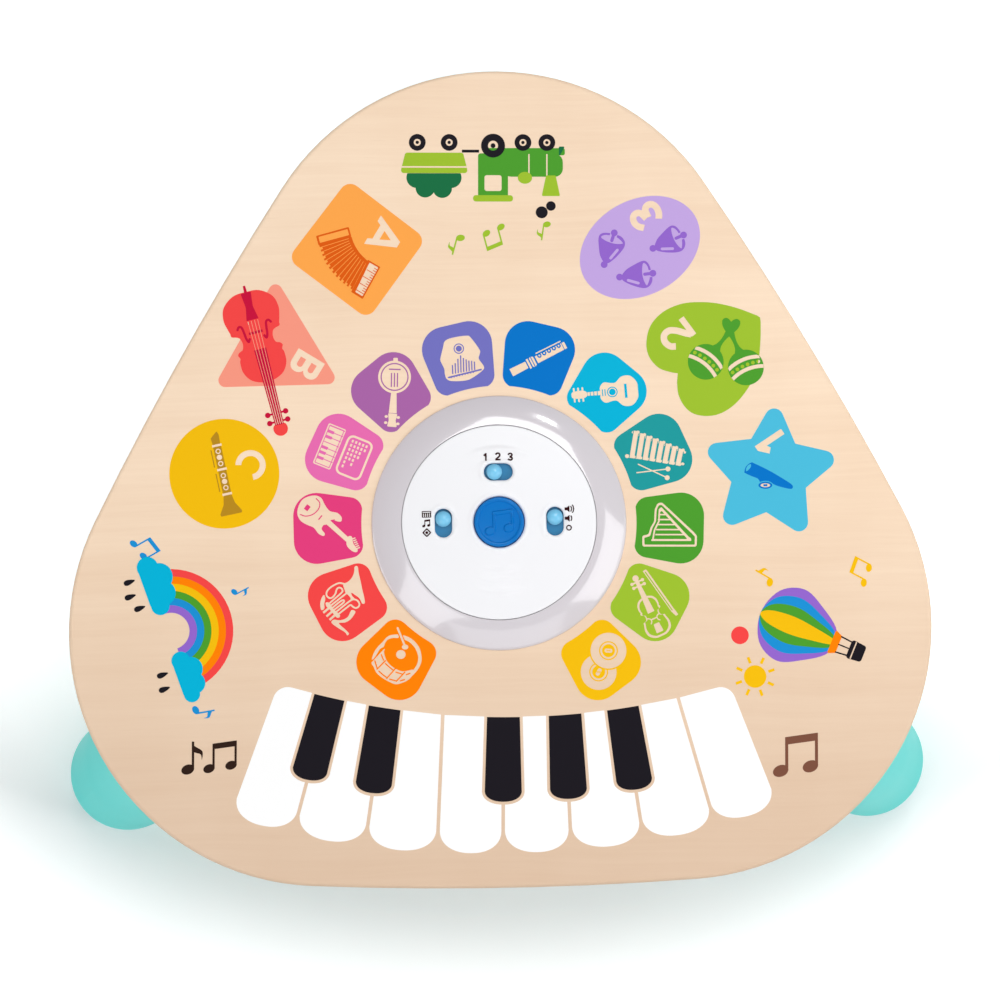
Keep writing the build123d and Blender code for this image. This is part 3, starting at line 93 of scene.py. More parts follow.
# ---------------------------------------------------------------- meshes
def place(points):
    """Table millimetres to the frame's metres."""
    return (np.asarray(points, float) + (MIDDLE_X, MIDDLE_Y, FACE)) * MM


def piece(name, points, faces, material, slot, body="root", sharp=35.0, replaces=()):
    """A mesh object in its place: doubles merged, smooth but for edges sharper than the angle."""
    mesh = bpy.data.meshes.new(name)
    mesh.from_pydata(place(points), [], faces)
    shape = bmesh.new()
    shape.from_mesh(mesh)
    bmesh.ops.remove_doubles(shape, verts=shape.verts, dist=DOUBLES)
    shape.to_mesh(mesh)
    shape.free()
    mesh.shade_smooth()
    mesh.set_sharp_from_angle(angle=radians(sharp))
    mesh.materials.append(material)
    made = bpy.data.objects.new(name, mesh)
    bpy.context.scene.collection.objects.link(made)
    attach(made, body)
    if replaces:
        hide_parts(*replaces)
    return made


def lathe(profile, steps, closed=False):
    """A profile of (radius, height) turned about the dial's axis: x = r cos a, y = middle + r sin a, z = h."""
    profile = np.asarray(profile, float)
    rows, radius = len(profile), profile[:, :1]
    angle = np.linspace(0, 2 * pi, steps, endpoint=False)
    height = np.repeat(profile[:, 1:], steps, 1)
    points = np.stack([radius * np.cos(angle), DIAL_Y + radius * np.sin(angle), height], -1)
    i, j = np.meshgrid(np.arange(rows - (not closed)), np.arange(steps), indexing="ij")
    k, m = (i + 1) % rows, (j + 1) % steps
    corners = [i * steps + j, k * steps + j, k * steps + m, i * steps + m]
    return points.reshape(-1, 3), np.stack(corners, -1).reshape(-1, 4).tolist()


def arc(x, y, radius, start, end, steps):
    """Points on a circle: centre + radius (cos a, sin a), in degrees."""
    angle = np.radians(np.linspace(start, end, steps))
    return np.stack([x + radius * np.cos(angle), y + radius * np.sin(angle)], -1)


# ---------------------------------------------------------------- flat outlines
def oval(x, y, rx, ry=None, turn=0.0):
    """An ellipse about (x, y)."""
    ry = ry or rx
    ring = arc(0, 0, 1, 0, 360, int(20 + 5 * max(rx, ry)) + 1)[:-1] * (rx, ry)
    return spun(ring, turn, x, y)


def spun(points, turn, x=0.0, y=0.0, size=1.0):
    """Points sized and turned about the origin, then moved to (x, y)."""
    c, s = cos(radians(turn)), sin(radians(turn))
    return size * np.asarray(points, float) @ np.array([[c, s], [-s, c]]) + (x, y)


def plate(corners, radius=0.3, steps=6):
    """A polygon whose corners are arcs tangent to both of their sides."""
    tip = np.asarray(corners, float)
    before, after = np.roll(tip, 1, 0) - tip, np.roll(tip, -1, 0) - tip
    before /= np.linalg.norm(before, axis=1)[:, None]
    after /= np.linalg.norm(after, axis=1)[:, None]
    half = np.arccos(np.clip((before * after).sum(1), -1, 1))[:, None] / 2
    radius = np.broadcast_to(np.asarray(radius, float).reshape(-1, 1), half.shape)
    inward = before + after
    inward /= np.linalg.norm(inward, axis=1)[:, None]
    centre = tip + inward * radius / np.sin(half)
    cut = radius / np.tan(half)
    first, last = tip + before * cut - centre, tip + after * cut - centre
    a = np.arctan2(first[:, 1], first[:, 0])[:, None]
    b = np.arctan2(last[:, 1], last[:, 0])[:, None]
    angle = a + ((b - a + pi) % (2 * pi) - pi) * np.linspace(0, 1, steps)
    ring = centre[:, None] + radius[:, None] * np.stack([np.cos(angle), np.sin(angle)], -1)
    return ring.reshape(-1, 2)


def panel(x, y, width, height, radius=0.3, turn=0.0):
    """A rounded rectangle about (x, y)."""
    w, h = width / 2, height / 2
    return spun(plate([(-w, -h), (w, -h), (w, h), (-w, h)], radius), turn, x, y)


def bar(x1, y1, x2, y2, width, far=None):
    """A square-ended bar between two points, which may taper."""
    length = hypot(x2 - x1, y2 - y1)
    w, f = width / 2, (width if far is None else far) / 2
    corners = [(0, -w), (length, -f), (length, f), (0, w)]
    return spun(corners, degrees(atan2(y2 - y1, x2 - x1)), x1, y1)


def hoop(x, y, radius, width, start, end):
    """Part of a ring, square-ended, with its middle line at the radius."""
    steps = int(6 + abs(end - start) / 8)
    outer = arc(x, y, radius + width / 2, start, end, steps)
    return np.concatenate([outer, arc(x, y, radius - width / 2, end, start, steps)])


def bend(points, steps=6, closed=False):
    """A Catmull-Rom curve through the points."""
    p = np.asarray(points, float)
    if closed:
        p = np.concatenate([p[-1:], p, p[:2]])
    else:
        p = np.concatenate([2 * p[:1] - p[1:2], p, 2 * p[-1:] - p[-2:-1]])
    t = np.linspace(0, 1, steps, endpoint=False)[None, :, None]
    a, b, c, d = (p[k : len(p) - 3 + k, None] for k in range(4))
    curve = 0.5 * (2 * b + (c - a) * t + (2 * a - 5 * b + 4 * c - d) * t**2 + (3 * b - a - 3 * c + d) * t**3)
    curve = curve.reshape(-1, 2)
    return curve if closed else np.concatenate([curve, p[-2:-1]])


def blob(points, steps=6):
    """A smooth closed outline through the points."""
    return bend(points, steps, closed=True)


def rod(points, width):
    """A round-ended line of even width: one round-ended bar for each of its runs."""
    p = np.asarray(points, float)
    runs = []
    for (x1, y1), (x2, y2) in zip(p[:-1], p[1:]):
        length, turn = hypot(x2 - x1, y2 - y1), degrees(atan2(y2 - y1, x2 - x1))
        cap = arc(length, 0, width / 2, -90, 90, 7)
        runs.append(spun(np.concatenate([cap, arc(0, 0, width / 2, 90, 270, 7)]), turn, x1, y1))
    return runs


def stroke(points, width):
    """A square-ended line of even width along a curve through the points."""
    path = bend(points)
    way = np.gradient(path, axis=0)
    side = np.column_stack([-way[:, 1], way[:, 0]]) * width / 2 / np.linalg.norm(way, axis=1)[:, None]
    return np.concatenate([path + side, (path - side)[::-1]])


def spread(outlines):
    """Outlines and lists of outlines as one flat list."""
    flat = []
    for outline in outlines:
        flat += spread(outline) if isinstance(outline, list) else [outline]
    return flat


def on(*outlines):
    """Outlines that lay ink."""
    return [(outline, True) for outline in spread(outlines)]


def off(*outlines):
    """Outlines that leave the wood bare."""
    return [(outline, False) for outline in spread(outlines)]


def moved(marks, turn=0.0, x=0.0, y=0.0, size=1.0):
    """Marks sized and turned about the origin, then moved to (x, y)."""
    return [(spun(outline, turn, x, y, size), inked) for outline, inked in marks]


def swapped(marks):
    """Marks with ink and bare wood exchanged."""
    return [(outline, not inked) for outline, inked in marks]


def fill(marks, extra=()):
    """Triangles over what the last outline over each spot leaves inked, with extra points inside."""
    points, loops = [], []
    for outline, _ in marks:
        x, y = np.asarray(outline).T
        area = (x * np.roll(y, -1) - np.roll(x, -1) * y).sum()
        loop = np.arange(len(points), len(points) + len(x))
        loops.append(loop.tolist() if area > 0 else loop[::-1].tolist())
        points += [Vector(p) for p in outline]
    points += [Vector(p) for p in extra]
    flat, _, faces, _, _, sources = delaunay_2d_cdt(points, [], loops, 1, 1e-5, True)
    kept = [face for face, source in zip(faces, sources) if source and marks[max(source)][1]]
    used, kept = np.unique(np.array(kept), return_inverse=True)
    return np.array(flat)[used], kept.reshape(-1, 3)


def slab(flat, triangles, low, high):
    """A closed sheet over flat triangles between two levels, which may be functions of x and y."""
    count = len(flat)
    x, y = flat.T
    levels = [level(x, y) if callable(level) else np.full(count, level) for level in (high, low)]
    points = np.concatenate([np.column_stack([flat, level]) for level in levels])
    edges = np.concatenate([triangles[:, [0, 1]], triangles[:, [1, 2]], triangles[:, [2, 0]]])
    there, back = edges @ (count, 1), edges @ (1, count)
    a, b = edges[~np.isin(there, back)].T
    walls = np.stack([a, a + count, b + count, b], -1)
    return points, triangles.tolist() + (triangles[:, ::-1] + count).tolist() + walls.tolist()


def dense(marks):
    """A fine grid of points over each outline, so that a mark can follow a curved ground."""
    low = [np.floor(outline.min(0) / SIGN_GRID) for outline, _ in marks]
    high = [np.ceil(outline.max(0) / SIGN_GRID) for outline, _ in marks]
    spots = [np.stack(np.meshgrid(*map(np.arange, a, b + 1)), -1).reshape(-1, 2) for a, b in zip(low, high)]
    return np.unique(np.concatenate(spots), axis=0) * SIGN_GRID


def printed(name, marks, material, layer=1, slot="printed_plywood", ground=0.0):
    """Ink on the board or on a curved ground, as many layers thick as it has to stand above the last."""
    curved = callable(ground)
    flat, triangles = fill(marks, dense(marks) if curved else ())
    if curved:
        points, faces = slab(flat, triangles, ground, lambda x, y: ground(x, y) + INK * layer)
    else:
        flat = spun(flat - (0, DIAL_Y), PRINT_TURN, 0, DIAL_Y)
        points, faces = slab(flat, triangles, ground, ground + INK * layer)
    piece(name, points, faces, material, slot)


# ---------------------------------------------------------------- shader groups and materials
def paint(red, green, blue):
    """A colour from its 0 to 255 screen values, in linear light."""
    share = np.array([red, green, blue]) / 255
    linear = np.where(share <= 0.04045, share / 12.92, ((share + 0.055) / 1.055) ** 2.4)
    return (*linear.tolist(), 1.0)


def node(tree, kind, inputs=None, **settings):
    """A shader node with its settings and its plain input values or links."""
    made = tree.nodes.new("ShaderNode" + kind)
    for key, value in settings.items():
        setattr(made, key, value)
    for key, value in (inputs or {}).items():
        if isinstance(value, bpy.types.NodeSocket):
            tree.links.new(value, made.inputs[key])
        else:
            made.inputs[key].default_value = value
    return made


SOCKET_KINDS = {1: "Float", 3: "Vector", 4: "Color"}  # by how many numbers a value has


def group(name, **inputs):
    """An empty shader group with a Position and named values as its inputs, and the sockets that give them."""
    tree = bpy.data.node_groups.new(name, "ShaderNodeTree")
    for socket, value in {"Position": (0, 0, 0), **inputs}.items():
        kind = "NodeSocket" + SOCKET_KINDS[np.size(value)]
        tree.interface.new_socket(name=socket, in_out="INPUT", socket_type=kind).default_value = value
    return tree, tree.nodes.new("NodeGroupInput").outputs


def give(tree, colour, height, roughness):
    """The group with its three outputs made and linked."""
    results = {"Color": colour, "Height": height, "Roughness": roughness}
    for socket in results:
        kind = "NodeSocketColor" if socket == "Color" else "NodeSocketFloat"
        tree.interface.new_socket(name=socket, in_out="OUTPUT", socket_type=kind)
    end = tree.nodes.new("NodeGroupOutput")
    for socket, value in results.items():
        tree.links.new(value, end.inputs[socket])
    return tree


def calc(tree, operation, *values):
    """The result of a Math node."""
    return node(tree, "Math", dict(enumerate(values)), operation=operation).outputs[0]


def mix(tree, share, first, second):
    """The result of a colour mix."""
    return node(tree, "Mix", {0: share, 6: first, 7: second}, data_type="RGBA").outputs[2]


def noise(tree, position, scale, detail=2.0, output="Fac"):
    """Even noise over object coordinates."""
    return node(tree, "TexNoise", {"Vector": position, "Scale": scale, "Detail": detail}).outputs[output]


def stretched_noise(tree, position, scale, detail=3.0, rough=0.55):
    """Noise over object coordinates with its own scale along each axis."""
    mapped = node(tree, "Mapping", {"Vector": position, "Scale": scale}).outputs[0]
    made = node(tree, "TexNoise", {"Vector": mapped, "Scale": 1.0, "Detail": detail, "Roughness": rough})
    return made.outputs["Fac"]


def ramp(tree, value, low, high, kind="LINEAR"):
    """A value stretched from low..high to 0..1, in a straight line or by a smooth step."""
    ends = {"Value": value, "From Min": low, "From Max": high}
    return node(tree, "MapRange", ends, interpolation_type=kind).outputs[0]


def wood_group():
    """Veneer grain: long fibres across a slow drift of tone, with fine pores, and a painted shade that darkens it
    towards -Y.
    """
    tree, given = group(
        "veneer_grain", Light=paint(248, 225, 197), Dark=paint(232, 200, 168), Pores=0.12, Fade=0.0
    )
    at = given["Position"]
    along = node(tree, "SeparateXYZ", {0: at}).outputs["Y"]
    # painted shade: the veneer darkens smoothly towards the front (-Y), standing in for the lamps' falloff
    fade = calc(tree, "MULTIPLY", ramp(tree, along, 0.0, -0.235, "SMOOTHSTEP"), given["Fade"])
    sway = noise(tree, at, 9.0, 1.0, "Color")
    bent = node(tree, "VectorMath", {0: sway, 1: (0.0, 0.012, 0.0)}, operation="MULTIPLY").outputs[0]
    at = node(tree, "VectorMath", {0: at, 1: bent}, operation="ADD").outputs[0]
    broad = stretched_noise(tree, at, (2.2, 26.0, 26.0))
    fibre = stretched_noise(tree, at, (14.0, 420.0, 420.0), 4.0, 0.65)
    flame = stretched_noise(tree, at, (30.0, 9.0, 9.0), 2.0)
    tone = calc(tree, "MULTIPLY", broad, 0.55)
    for layer, share in ((fibre, 0.3), (flame, 0.15)):
        tone = calc(tree, "ADD", tone, calc(tree, "MULTIPLY", layer, share))
    colour = mix(tree, ramp(tree, tone, 0.36, 0.64), given["Dark"], given["Light"])
    # the painted shade's colour, mixed in towards the front
    colour = mix(tree, fade, colour, paint(190, 158, 134))
    pore = ramp(tree, stretched_noise(tree, at, (60.0, 1500.0, 1500.0), 2.0), 0.66, 0.8)
    pore = calc(tree, "MULTIPLY", pore, given["Pores"])
    colour = mix(tree, pore, colour, paint(196, 152, 112))
    return give(tree, colour, calc(tree, "SUBTRACT", fibre, pore), ramp(tree, fibre, -1.2, 2.2))


def plastic_group():
    """Moulded plastic: a slow drift of tone and a fine orange-peel surface."""
    tree, given = group("moulded_plastic", Base=(0.8, 0.8, 0.8, 1.0), Drift=0.03, Sheen=0.3, Peel=260.0)
    slow = noise(tree, given["Position"], 14.0)
    peel = noise(tree, given["Position"], given["Peel"])
    shade = mix(tree, calc(tree, "MULTIPLY", slow, given["Drift"]), given["Base"], (0.0, 0.0, 0.0, 1.0))
    uneven = calc(tree, "MULTIPLY", calc(tree, "SUBTRACT", slow, 0.5), 0.12)
    return give(tree, shade, peel, calc(tree, "ADD", given["Sheen"], uneven))


def painted_shade_plastic_group():
    """Plastic with painted shade: light on its lit domes, darker down to its base."""
    tree, given = group(
        "plastic_with_painted_shade", Top=(0.8, 0.8, 0.8, 1.0), Deep=(0.1, 0.1, 0.1, 1.0), Low=0.0, High=1.0, Sheen=0.2
    )
    level = node(tree, "SeparateXYZ", {0: given["Position"]}).outputs["Z"]
    # painted shade: the colour darkens with Z from the dome's top down to the plate in its slot, under any lamp
    colour = mix(tree, ramp(tree, level, given["Low"], given["High"]), given["Deep"], given["Top"])
    haze = noise(tree, given["Position"], 300.0)
    return give(tree, colour, haze, calc(tree, "ADD", given["Sheen"], calc(tree, "MULTIPLY", haze, 0.05)))


def metal_group():
    """Plated or drawn metal: fine scratches and a patchy polish."""
    tree, given = group("drawn_metal", Base=(0.7, 0.7, 0.7, 1.0), Sheen=0.3)
    patch = noise(tree, given["Position"], 120.0, 3.0)
    scratch = stretched_noise(tree, given["Position"], (300.0, 300.0, 4000.0), 2.0)
    colour = mix(tree, calc(tree, "MULTIPLY", patch, 0.25), given["Base"], (0.1, 0.1, 0.1, 1.0))
    return give(tree, colour, scratch, calc(tree, "ADD", given["Sheen"], calc(tree, "MULTIPLY", patch, 0.2)))


# the clear kind is the plastic with painted shade
GROUPS = {"wood": wood_group(), "plastic": plastic_group(), "clear": painted_shade_plastic_group(), "metal": metal_group()}


def round_the_side(tree, position):
    """Object coordinates bent round the table: the way along its side, the reach from its middle, and Z."""
    x, y, z = node(tree, "SeparateXYZ", {0: position}).outputs
    front = calc(tree, "MULTIPLY", y, -1.0)
    along = calc(tree, "MULTIPLY", calc(tree, "ARCTAN2", x, front), SIDE_REACH * MM)
    reach = calc(tree, "SQRT", calc(tree, "ADD", calc(tree, "MULTIPLY", x, x), calc(tree, "MULTIPLY", y, y)))
    return node(tree, "CombineXYZ", {0: along, 1: reach, 2: z}).outputs[0]


def finish_of(name, kind, values, bump, depth=0.0002, turn=None, bent=False, **shader):
    """A material: a Principled BSDF with colour, roughness and bump from one shader group."""
    material = bpy.data.materials.new(name)
    material.use_nodes = True
    tree = material.node_tree
    skin = tree.nodes["Principled BSDF"]
    position = node(tree, "TexCoord").outputs["Object"]
    if turn is not None:
        position = node(tree, "Mapping", {"Vector": position, "Rotation": turn}).outputs[0]
    if bent:
        position = round_the_side(tree, position)
    made = node(tree, "Group", {}, node_tree=GROUPS[kind])
    for key, value in values.items():
        made.inputs[key].default_value = value
    relief = node(tree, "Bump", {"Strength": bump, "Distance": depth, "Height": made.outputs["Height"]})
    tree.links.new(position, made.inputs["Position"])
    tree.links.new(made.outputs["Color"], skin.inputs["Base Color"])
    tree.links.new(made.outputs["Roughness"], skin.inputs["Roughness"])
    tree.links.new(relief.outputs[0], skin.inputs["Normal"])
    for key, value in shader.items():
        skin.inputs[key.replace("_", " ")].default_value = value
    return material


def plastic(name, colour, sheen=0.3, drift=0.04, bump=0.05, **shader):
    """Moulded plastic in one colour."""
    return finish_of(name, "plastic", {"Base": paint(*colour), "Sheen": sheen, "Drift": drift}, bump, **shader)


def metal(name, colour, sheen=0.3):
    """Plated metal in one colour."""
    return finish_of(name, "metal", {"Base": paint(*colour), "Sheen": sheen}, 0.15, 0.0001, Metallic=1.0)


def wood(name, light, dark, pores=0.12, fade=0.0, **grain):
    """Veneer in two tones, with its grain along X unless turned or bent, and a painted shade that may darken it towards
    -Y.
    """
    values = {"Light": paint(*light), "Dark": paint(*dark), "Pores": pores, "Fade": fade}
    return finish_of(name, "wood", values, 0.12, 0.00015, Specular_IOR_Level=0.12, **grain)


def ink(name, colour):
    """A flat opaque ink on wood, with the grain just telling in its surface."""
    values = {"Base": paint(*colour), "Sheen": 0.42, "Drift": 0.02, "Peel": 900.0}
    return finish_of("ink_" + name, "plastic", values, 0.12, 0.0001, Specular_IOR_Level=0.04)


INKS = {
    "orange": (255, 130, 0), "red": (245, 71, 70), "pink": (229, 62, 125), "rose": (233, 109, 177),
    "purple": (169, 101, 167), "violet": (115, 114, 192), "blue": (0, 116, 201), "cyan": (1, 179, 217),
    "teal": (32, 154, 157), "green": (76, 157, 46), "lime": (158, 193, 49), "yellow": (245, 190, 11),
    "apricot": (255, 168, 77), "rust": (224, 93, 16), "salmon": (249, 153, 131), "crimson": (200, 16, 60),
    "brass": (184, 138, 32), "lilac": (195, 166, 226), "plum": (147, 102, 204), "sky": (75, 188, 220),
    "lake": (28, 144, 212), "pine": (24, 110, 66), "white": (255, 255, 255), "black": (25, 22, 29),
    "brown": (124, 80, 63), "coffee": (46, 29, 22), "umber": (50, 16, 20),
}
INK_OF = {name: ink(name, colour) for name, colour in INKS.items()}
PEARL = plastic(
    "pearl_ring", (209, 203, 209), 0.14, 0.03, 0.03, Specular_IOR_Level=0.8, Coat_Weight=0.8, Coat_Roughness=0.04
)
WHITE = plastic("white_cover", (243, 243, 246), 0.34, 0.02, 0.03, Specular_IOR_Level=0.3)
BLUE = plastic("blue_button", (0, 116, 198), 0.2, 0.05, 0.04, Specular_IOR_Level=0.14)
knob_low, knob_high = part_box("language_knob")
# painted shade for the knobs: lighter dome tops, darker dome edges and slide plates down in their slots
knob_tones = {"Top": paint(122, 204, 241), "Deep": paint(40, 132, 180), "Sheen": 0.08}
knob_levels = {"Low": knob_low.z + SHUTTER_THICK * MM, "High": knob_high.z}
PALE_BLUE = finish_of("pale_blue_knob", "clear", {**knob_tones, **knob_levels}, 0.03, Specular_IOR_Level=0.45)
TEAL = plastic("teal_leg", (48, 224, 217), 0.38, 0.04, 0.06, Specular_IOR_Level=0.2)
INNER = plastic("inner_plastic", (214, 214, 212), 0.5, 0.06, 0.15)
DOOR = plastic("door_plastic", (208, 206, 202), 0.45, 0.05, 0.3)
RUBBER = plastic("pad_rubber", (196, 200, 198), 0.75, 0.06, 0.3)
SILICONE = plastic("silicone_dome", (235, 235, 228), 0.6, 0.05, 0.1)
FILM = plastic("clear_film", (228, 236, 236), 0.2, 0.02, 0.05)
COPPER = metal("copper_print", (214, 140, 92), 0.35)
FOAM = plastic("foam_gasket", (60, 60, 62), 0.9, 0.3, 1.0)
CONE = plastic("cone_paper", (48, 46, 44), 0.85, 0.3, 0.8)
MAGNET = metal("magnet_iron", (120, 122, 126), 0.4)
ZINC = metal("zinc_steel", (196, 198, 204), 0.28)
BRASS = metal("insert_brass", (212, 178, 98))
BOARD = plastic("circuit_board", (24, 104, 62), 0.4, 0.2, 0.2)
PARTS = plastic("component_plastic", (40, 40, 42), 0.5, 0.1, 0.2)
CELL = plastic("cell_jacket", (62, 66, 74), 0.25, 0.1, 0.05)
JACKET = plastic("lead_jacket", (182, 44, 40), 0.45, 0.1, 0.1)
# fade: painted shade, the top darkens towards the keys at the front
TOP_WOOD = wood("top_veneer", (250, 225, 198), (240, 211, 182), fade=0.46)
SIDE_WOOD = wood("bent_veneer", (246, 222, 192), (226, 192, 156), 0.2, bent=True)
BASE_WOOD = wood("base_veneer", (240, 214, 180), (220, 186, 148), 0.25)
BLOCK_WOOD = wood("glue_block", (232, 202, 164), (206, 168, 126), turn=(0, 0, radians(90)), pores=0.3)

NODE_FINISH = {
    "top_board": TOP_WOOD, "side_frame": SIDE_WOOD, "base_board": BASE_WOOD, "corner_block": BLOCK_WOOD,
    "threaded_inserts": BRASS, "leg_screws": ZINC, "leg_": TEAL, "foot_pad": RUBBER,
    "bezel_ring": PEARL, "dial_cover": WHITE, "dial_tray": INNER, "play_button": BLUE, "button_dome": SILICONE,
    "slide_switches": PARTS, "control_board_screws": ZINC, "control_board_parts": PARTS, "control_board": BOARD,
    "sensor_": FILM, "electrodes": COPPER,
    "speaker_gasket": FOAM, "speaker_basket": ZINC, "speaker_cone": CONE, "speaker_magnet": MAGNET,
    "battery_box_screws": ZINC, "battery_box": INNER, "battery_door": DOOR, "contact_": ZINC, "door_screw": ZINC,
    "main_board_screws": ZINC, "main_board_parts": PARTS, "main_board": BOARD, "board_standoffs": INNER,
    "screws": ZINC, "_knob": PALE_BLUE, "_lever": INNER, "_lead": JACKET, "battery_": CELL,
}  # the first key that is in a node's name gives its finish
for node_name, node_object in frame["nodes"].items():
    finish = next(value for key, value in NODE_FINISH.items() if key in node_name)
    node_object.data.materials.clear()
    node_object.data.materials.append(finish)


# ---------------------------------------------------------------- small instrument marks
def drum_mark():
    """A side drum: its head inside a hoop, a panelled shell with tension rods, and a beater on the skin."""
    hoop_left = [
        (1.8, 13.9), (-1.9, 13.6), (-4.1, 12.4), (-6.0, 10.2), (-8.1, 8.1), (-10.1, 5.3), (-11.3, 1.9), (-10.6, 1.7),
        (-9.0, 3.9), (-7.2, 6.8), (-5.5, 7.8), (-4.7, 9.8), (-3.2, 11.5), (-0.7, 12.2), (1.8, 12.3),
    ]
    hoop_right = [
        (2.9, 13.7), (6.8, 12.7), (9.9, 10.5), (12.4, 7.1), (13.4, 2.8), (13.1, -0.3), (11.4, -3.7), (8.3, -7.1),
        (5.9, -9.1), (7.1, -6.2), (9.3, -3.7), (11.0, -1.2), (11.7, 1.6), (11.4, 4.3), (10.0, 7.4), (7.4, 10.1),
        (4.3, 11.7),
    ]
    shell = [
        (-5.2, 6.7), (-5.3, 5.3), (-4.9, 3.4), (-4.2, 1.4), (-2.8, -0.5), (-1.0, -2.2), (1.5, -3.6), (4.0, -4.4),
        (6.8, -4.0), (9.3, -3.7), (8.3, -7.1), (6.2, -9.0), (3.4, -10.2), (0.6, -10.8), (-2.2, -9.8), (-4.7, -8.5),
        (-7.2, -6.8), (-9.2, -4.8), (-10.4, -2.2), (-11.5, -0.3), (-10.3, 1.2),
    ]
    marks = on(blob(hoop_left), blob(hoop_right), blob(shell))
    for path in (
        [(-4.6, 0.9), (-8.7, -3.3)], [(0.3, -3.1), (-3.9, -7.9)], [(5.1, -4.8), (0.9, -9.3)],
        [(-6.6, 3.9), (-6.1, 2.5), (-5.5, 1.2)], [(-4.6, -0.5), (-2.7, -2.2), (-0.7, -3.8)], [(0.7, -4.8), (4.0, -5.8)],
        [(5.9, -6.0), (7.6, -5.4)], [(-9.8, 0.8), (-9.3, -0.9), (-8.7, -2.8)],
        [(-7.8, -4.3), (-5.9, -6.0), (-3.9, -7.5)],
        [(-2.4, -8.3), (0.6, -9.1)], [(2.9, -9.1), (4.9, -8.5)],
    ):
        marks += off(rod(path, 0.65))
    stick = [(1.5, 17.1), (4.9, 8.7)]
    return marks + off(rod(stick, 2.1)) + on(rod(stick, 1.0), oval(5.2, 7.7, 1.6, 1.25), oval(3.1, 4.0, 2.35, 2.2))


def horn_mark():
    """A coiled horn: a flared bell, its coils and slides, three valve keys and a mouthpipe."""
    flare = [
        (5.8, 18.5), (6.7, 17.8), (7.1, 15.0), (8.1, 10.7), (9.0, 6.3), (9.8, 3.2), (10.2, 0.1), (9.2, -0.4),
        (8.6, 0.1), (7.5, 2.3), (5.6, 3.8), (3.5, 5.1), (3.9, 3.5), (5.2, 2.0), (3.3, 1.5), (3.0, 2.6), (1.6, 4.2),
        (0.7, 4.6), (0.2, 6.3), (-0.6, 8.7), (-0.3, 9.6), (1.6, 10.5), (3.4, 12.2), (4.5, 14.3), (4.9, 16.3),
        (5.0, 17.8),
    ]
    valves = [
        (-9.3, 0.1), (-8.2, 0.4), (-7.1, -0.4), (-6.2, -1.9), (-4.9, -3.5), (-3.4, -4.7), (-2.1, -6.2), (-2.7, -7.3),
        (-3.8, -7.2), (-4.9, -6.1), (-6.0, -4.7), (-7.4, -3.1), (-8.8, -1.9), (-9.3, -0.8),
    ]
    outer_coil = [
        (-10.1, 4.0), (-9.5, 2.0), (-10.0, -0.5), (-9.9, -2.7), (-11.4, -3.6), (-12.0, -1.4), (-11.9, 0.7),
        (-11.1, 2.9),
    ]
    mouthpipe = [
        (3.5, -3.6), (5.5, -4.2), (4.7, -6.1), (2.9, -8.3), (0.4, -9.7), (-2.7, -10.1), (0.1, -12.8), (2.3, -15.1),
        (1.4, -16.1), (0.4, -14.6), (-3.3, -12.3), (-6.4, -9.8), (-5.2, -8.3), (-2.7, -8.6), (-0.2, -8.1), (1.9, -6.7),
    ]
    marks = on([blob(shape, 4) for shape in (flare, valves, outer_coil, mouthpipe)])
    for path in (
        [
            (0.0, 9.5), (-2.5, 9.9), (-4.9, 9.0), (-7.4, 7.3), (-8.8, 5.4), (-8.7, 3.5), (-7.1, 2.4), (-5.6, 3.1),
            (-4.4, 4.8), (-3.9, 6.6), (-2.9, 7.6), (-1.5, 7.3), (-0.9, 6.0), (-1.7, 4.8), (-4.0, 2.8), (-7.1, 0.1),
        ],
        [(0.6, 4.5), (-6.5, -1.1)],
        [(-5.7, -2.2), (-1.2, 1.3), (-0.3, 0.4), (-4.8, -3.2)],
        [
            (-3.8, -4.2), (2.5, 0.8), (4.7, 1.8), (6.6, 1.1), (7.5, -0.5), (7.0, -1.9), (5.6, -2.5), (4.2, -1.8),
            (3.1, -1.0), (1.3, -2.2), (-2.9, -5.5),
        ],
    ):
        marks += on(rod(bend(path, 4), 0.85))
    valve_keys = ((-7.6, -2.5, -10.5, -4.9), (-6.0, -4.2, -8.9, -6.7), (-4.4, -5.8, -7.3, -8.4))
    return marks + on([bar(*ends, 1.1) for ends in valve_keys])


def electric_mark():
    """A solid-body guitar, its guard line, pickup, slim neck and six pegs in a row."""
    body = [
        (-8.5, 15.8), (-4.7, 16.3), (-1.9, 14.9), (-0.3, 11.8), (2.2, 8.6), (6.0, 7.6), (8.1, 5.5), (7.9, 3.4),
        (6.0, 3.4), (3.2, 4.2), (0.6, 1.9), (-0.9, 1.5), (-1.8, -0.5), (-0.2, -2.7), (-0.9, -3.9), (-3.4, -2.7),
        (-5.7, 0.2), (-9.1, 1.7), (-12.2, 3.6), (-13.9, 6.8), (-13.5, 10.5), (-11.6, 14.0),
    ]
    guard = [(-4.6, 14.8), (-2.8, 12.6), (-3.4, 9.6), (-6.0, 7.0), (-9.6, 6.0), (-12.4, 6.8)]
    head = [(11.2, -4.4), (13.2, -4.2), (14.0, -7.6), (16.2, -10.8), (15.2, -12.0), (12.8, -11.0), (10.6, -8.2)]
    marks = on(blob(body, 4)) + off(rod(bend(guard), 0.5))
    marks += off(panel(-9.0, 10.2, 2.2, 2.8, 0.2, -38), bar(-3.4, 4.2, -1.6, 6.4, 0.6), bar(0.2, 0.4, 4.6, 4.4, 0.5))
    marks += on(bar(1.2, 3.2, 12.0, -6.6, 2.7, 2.3), blob(head, 4))
    pegs = [(13.4 + 0.46 * k, -5.4 - 0.95 * k, 15.0 + 0.46 * k, -4.8 - 0.95 * k) for k in range(6)]
    return marks + on([bar(*ends, 0.6) for ends in pegs])


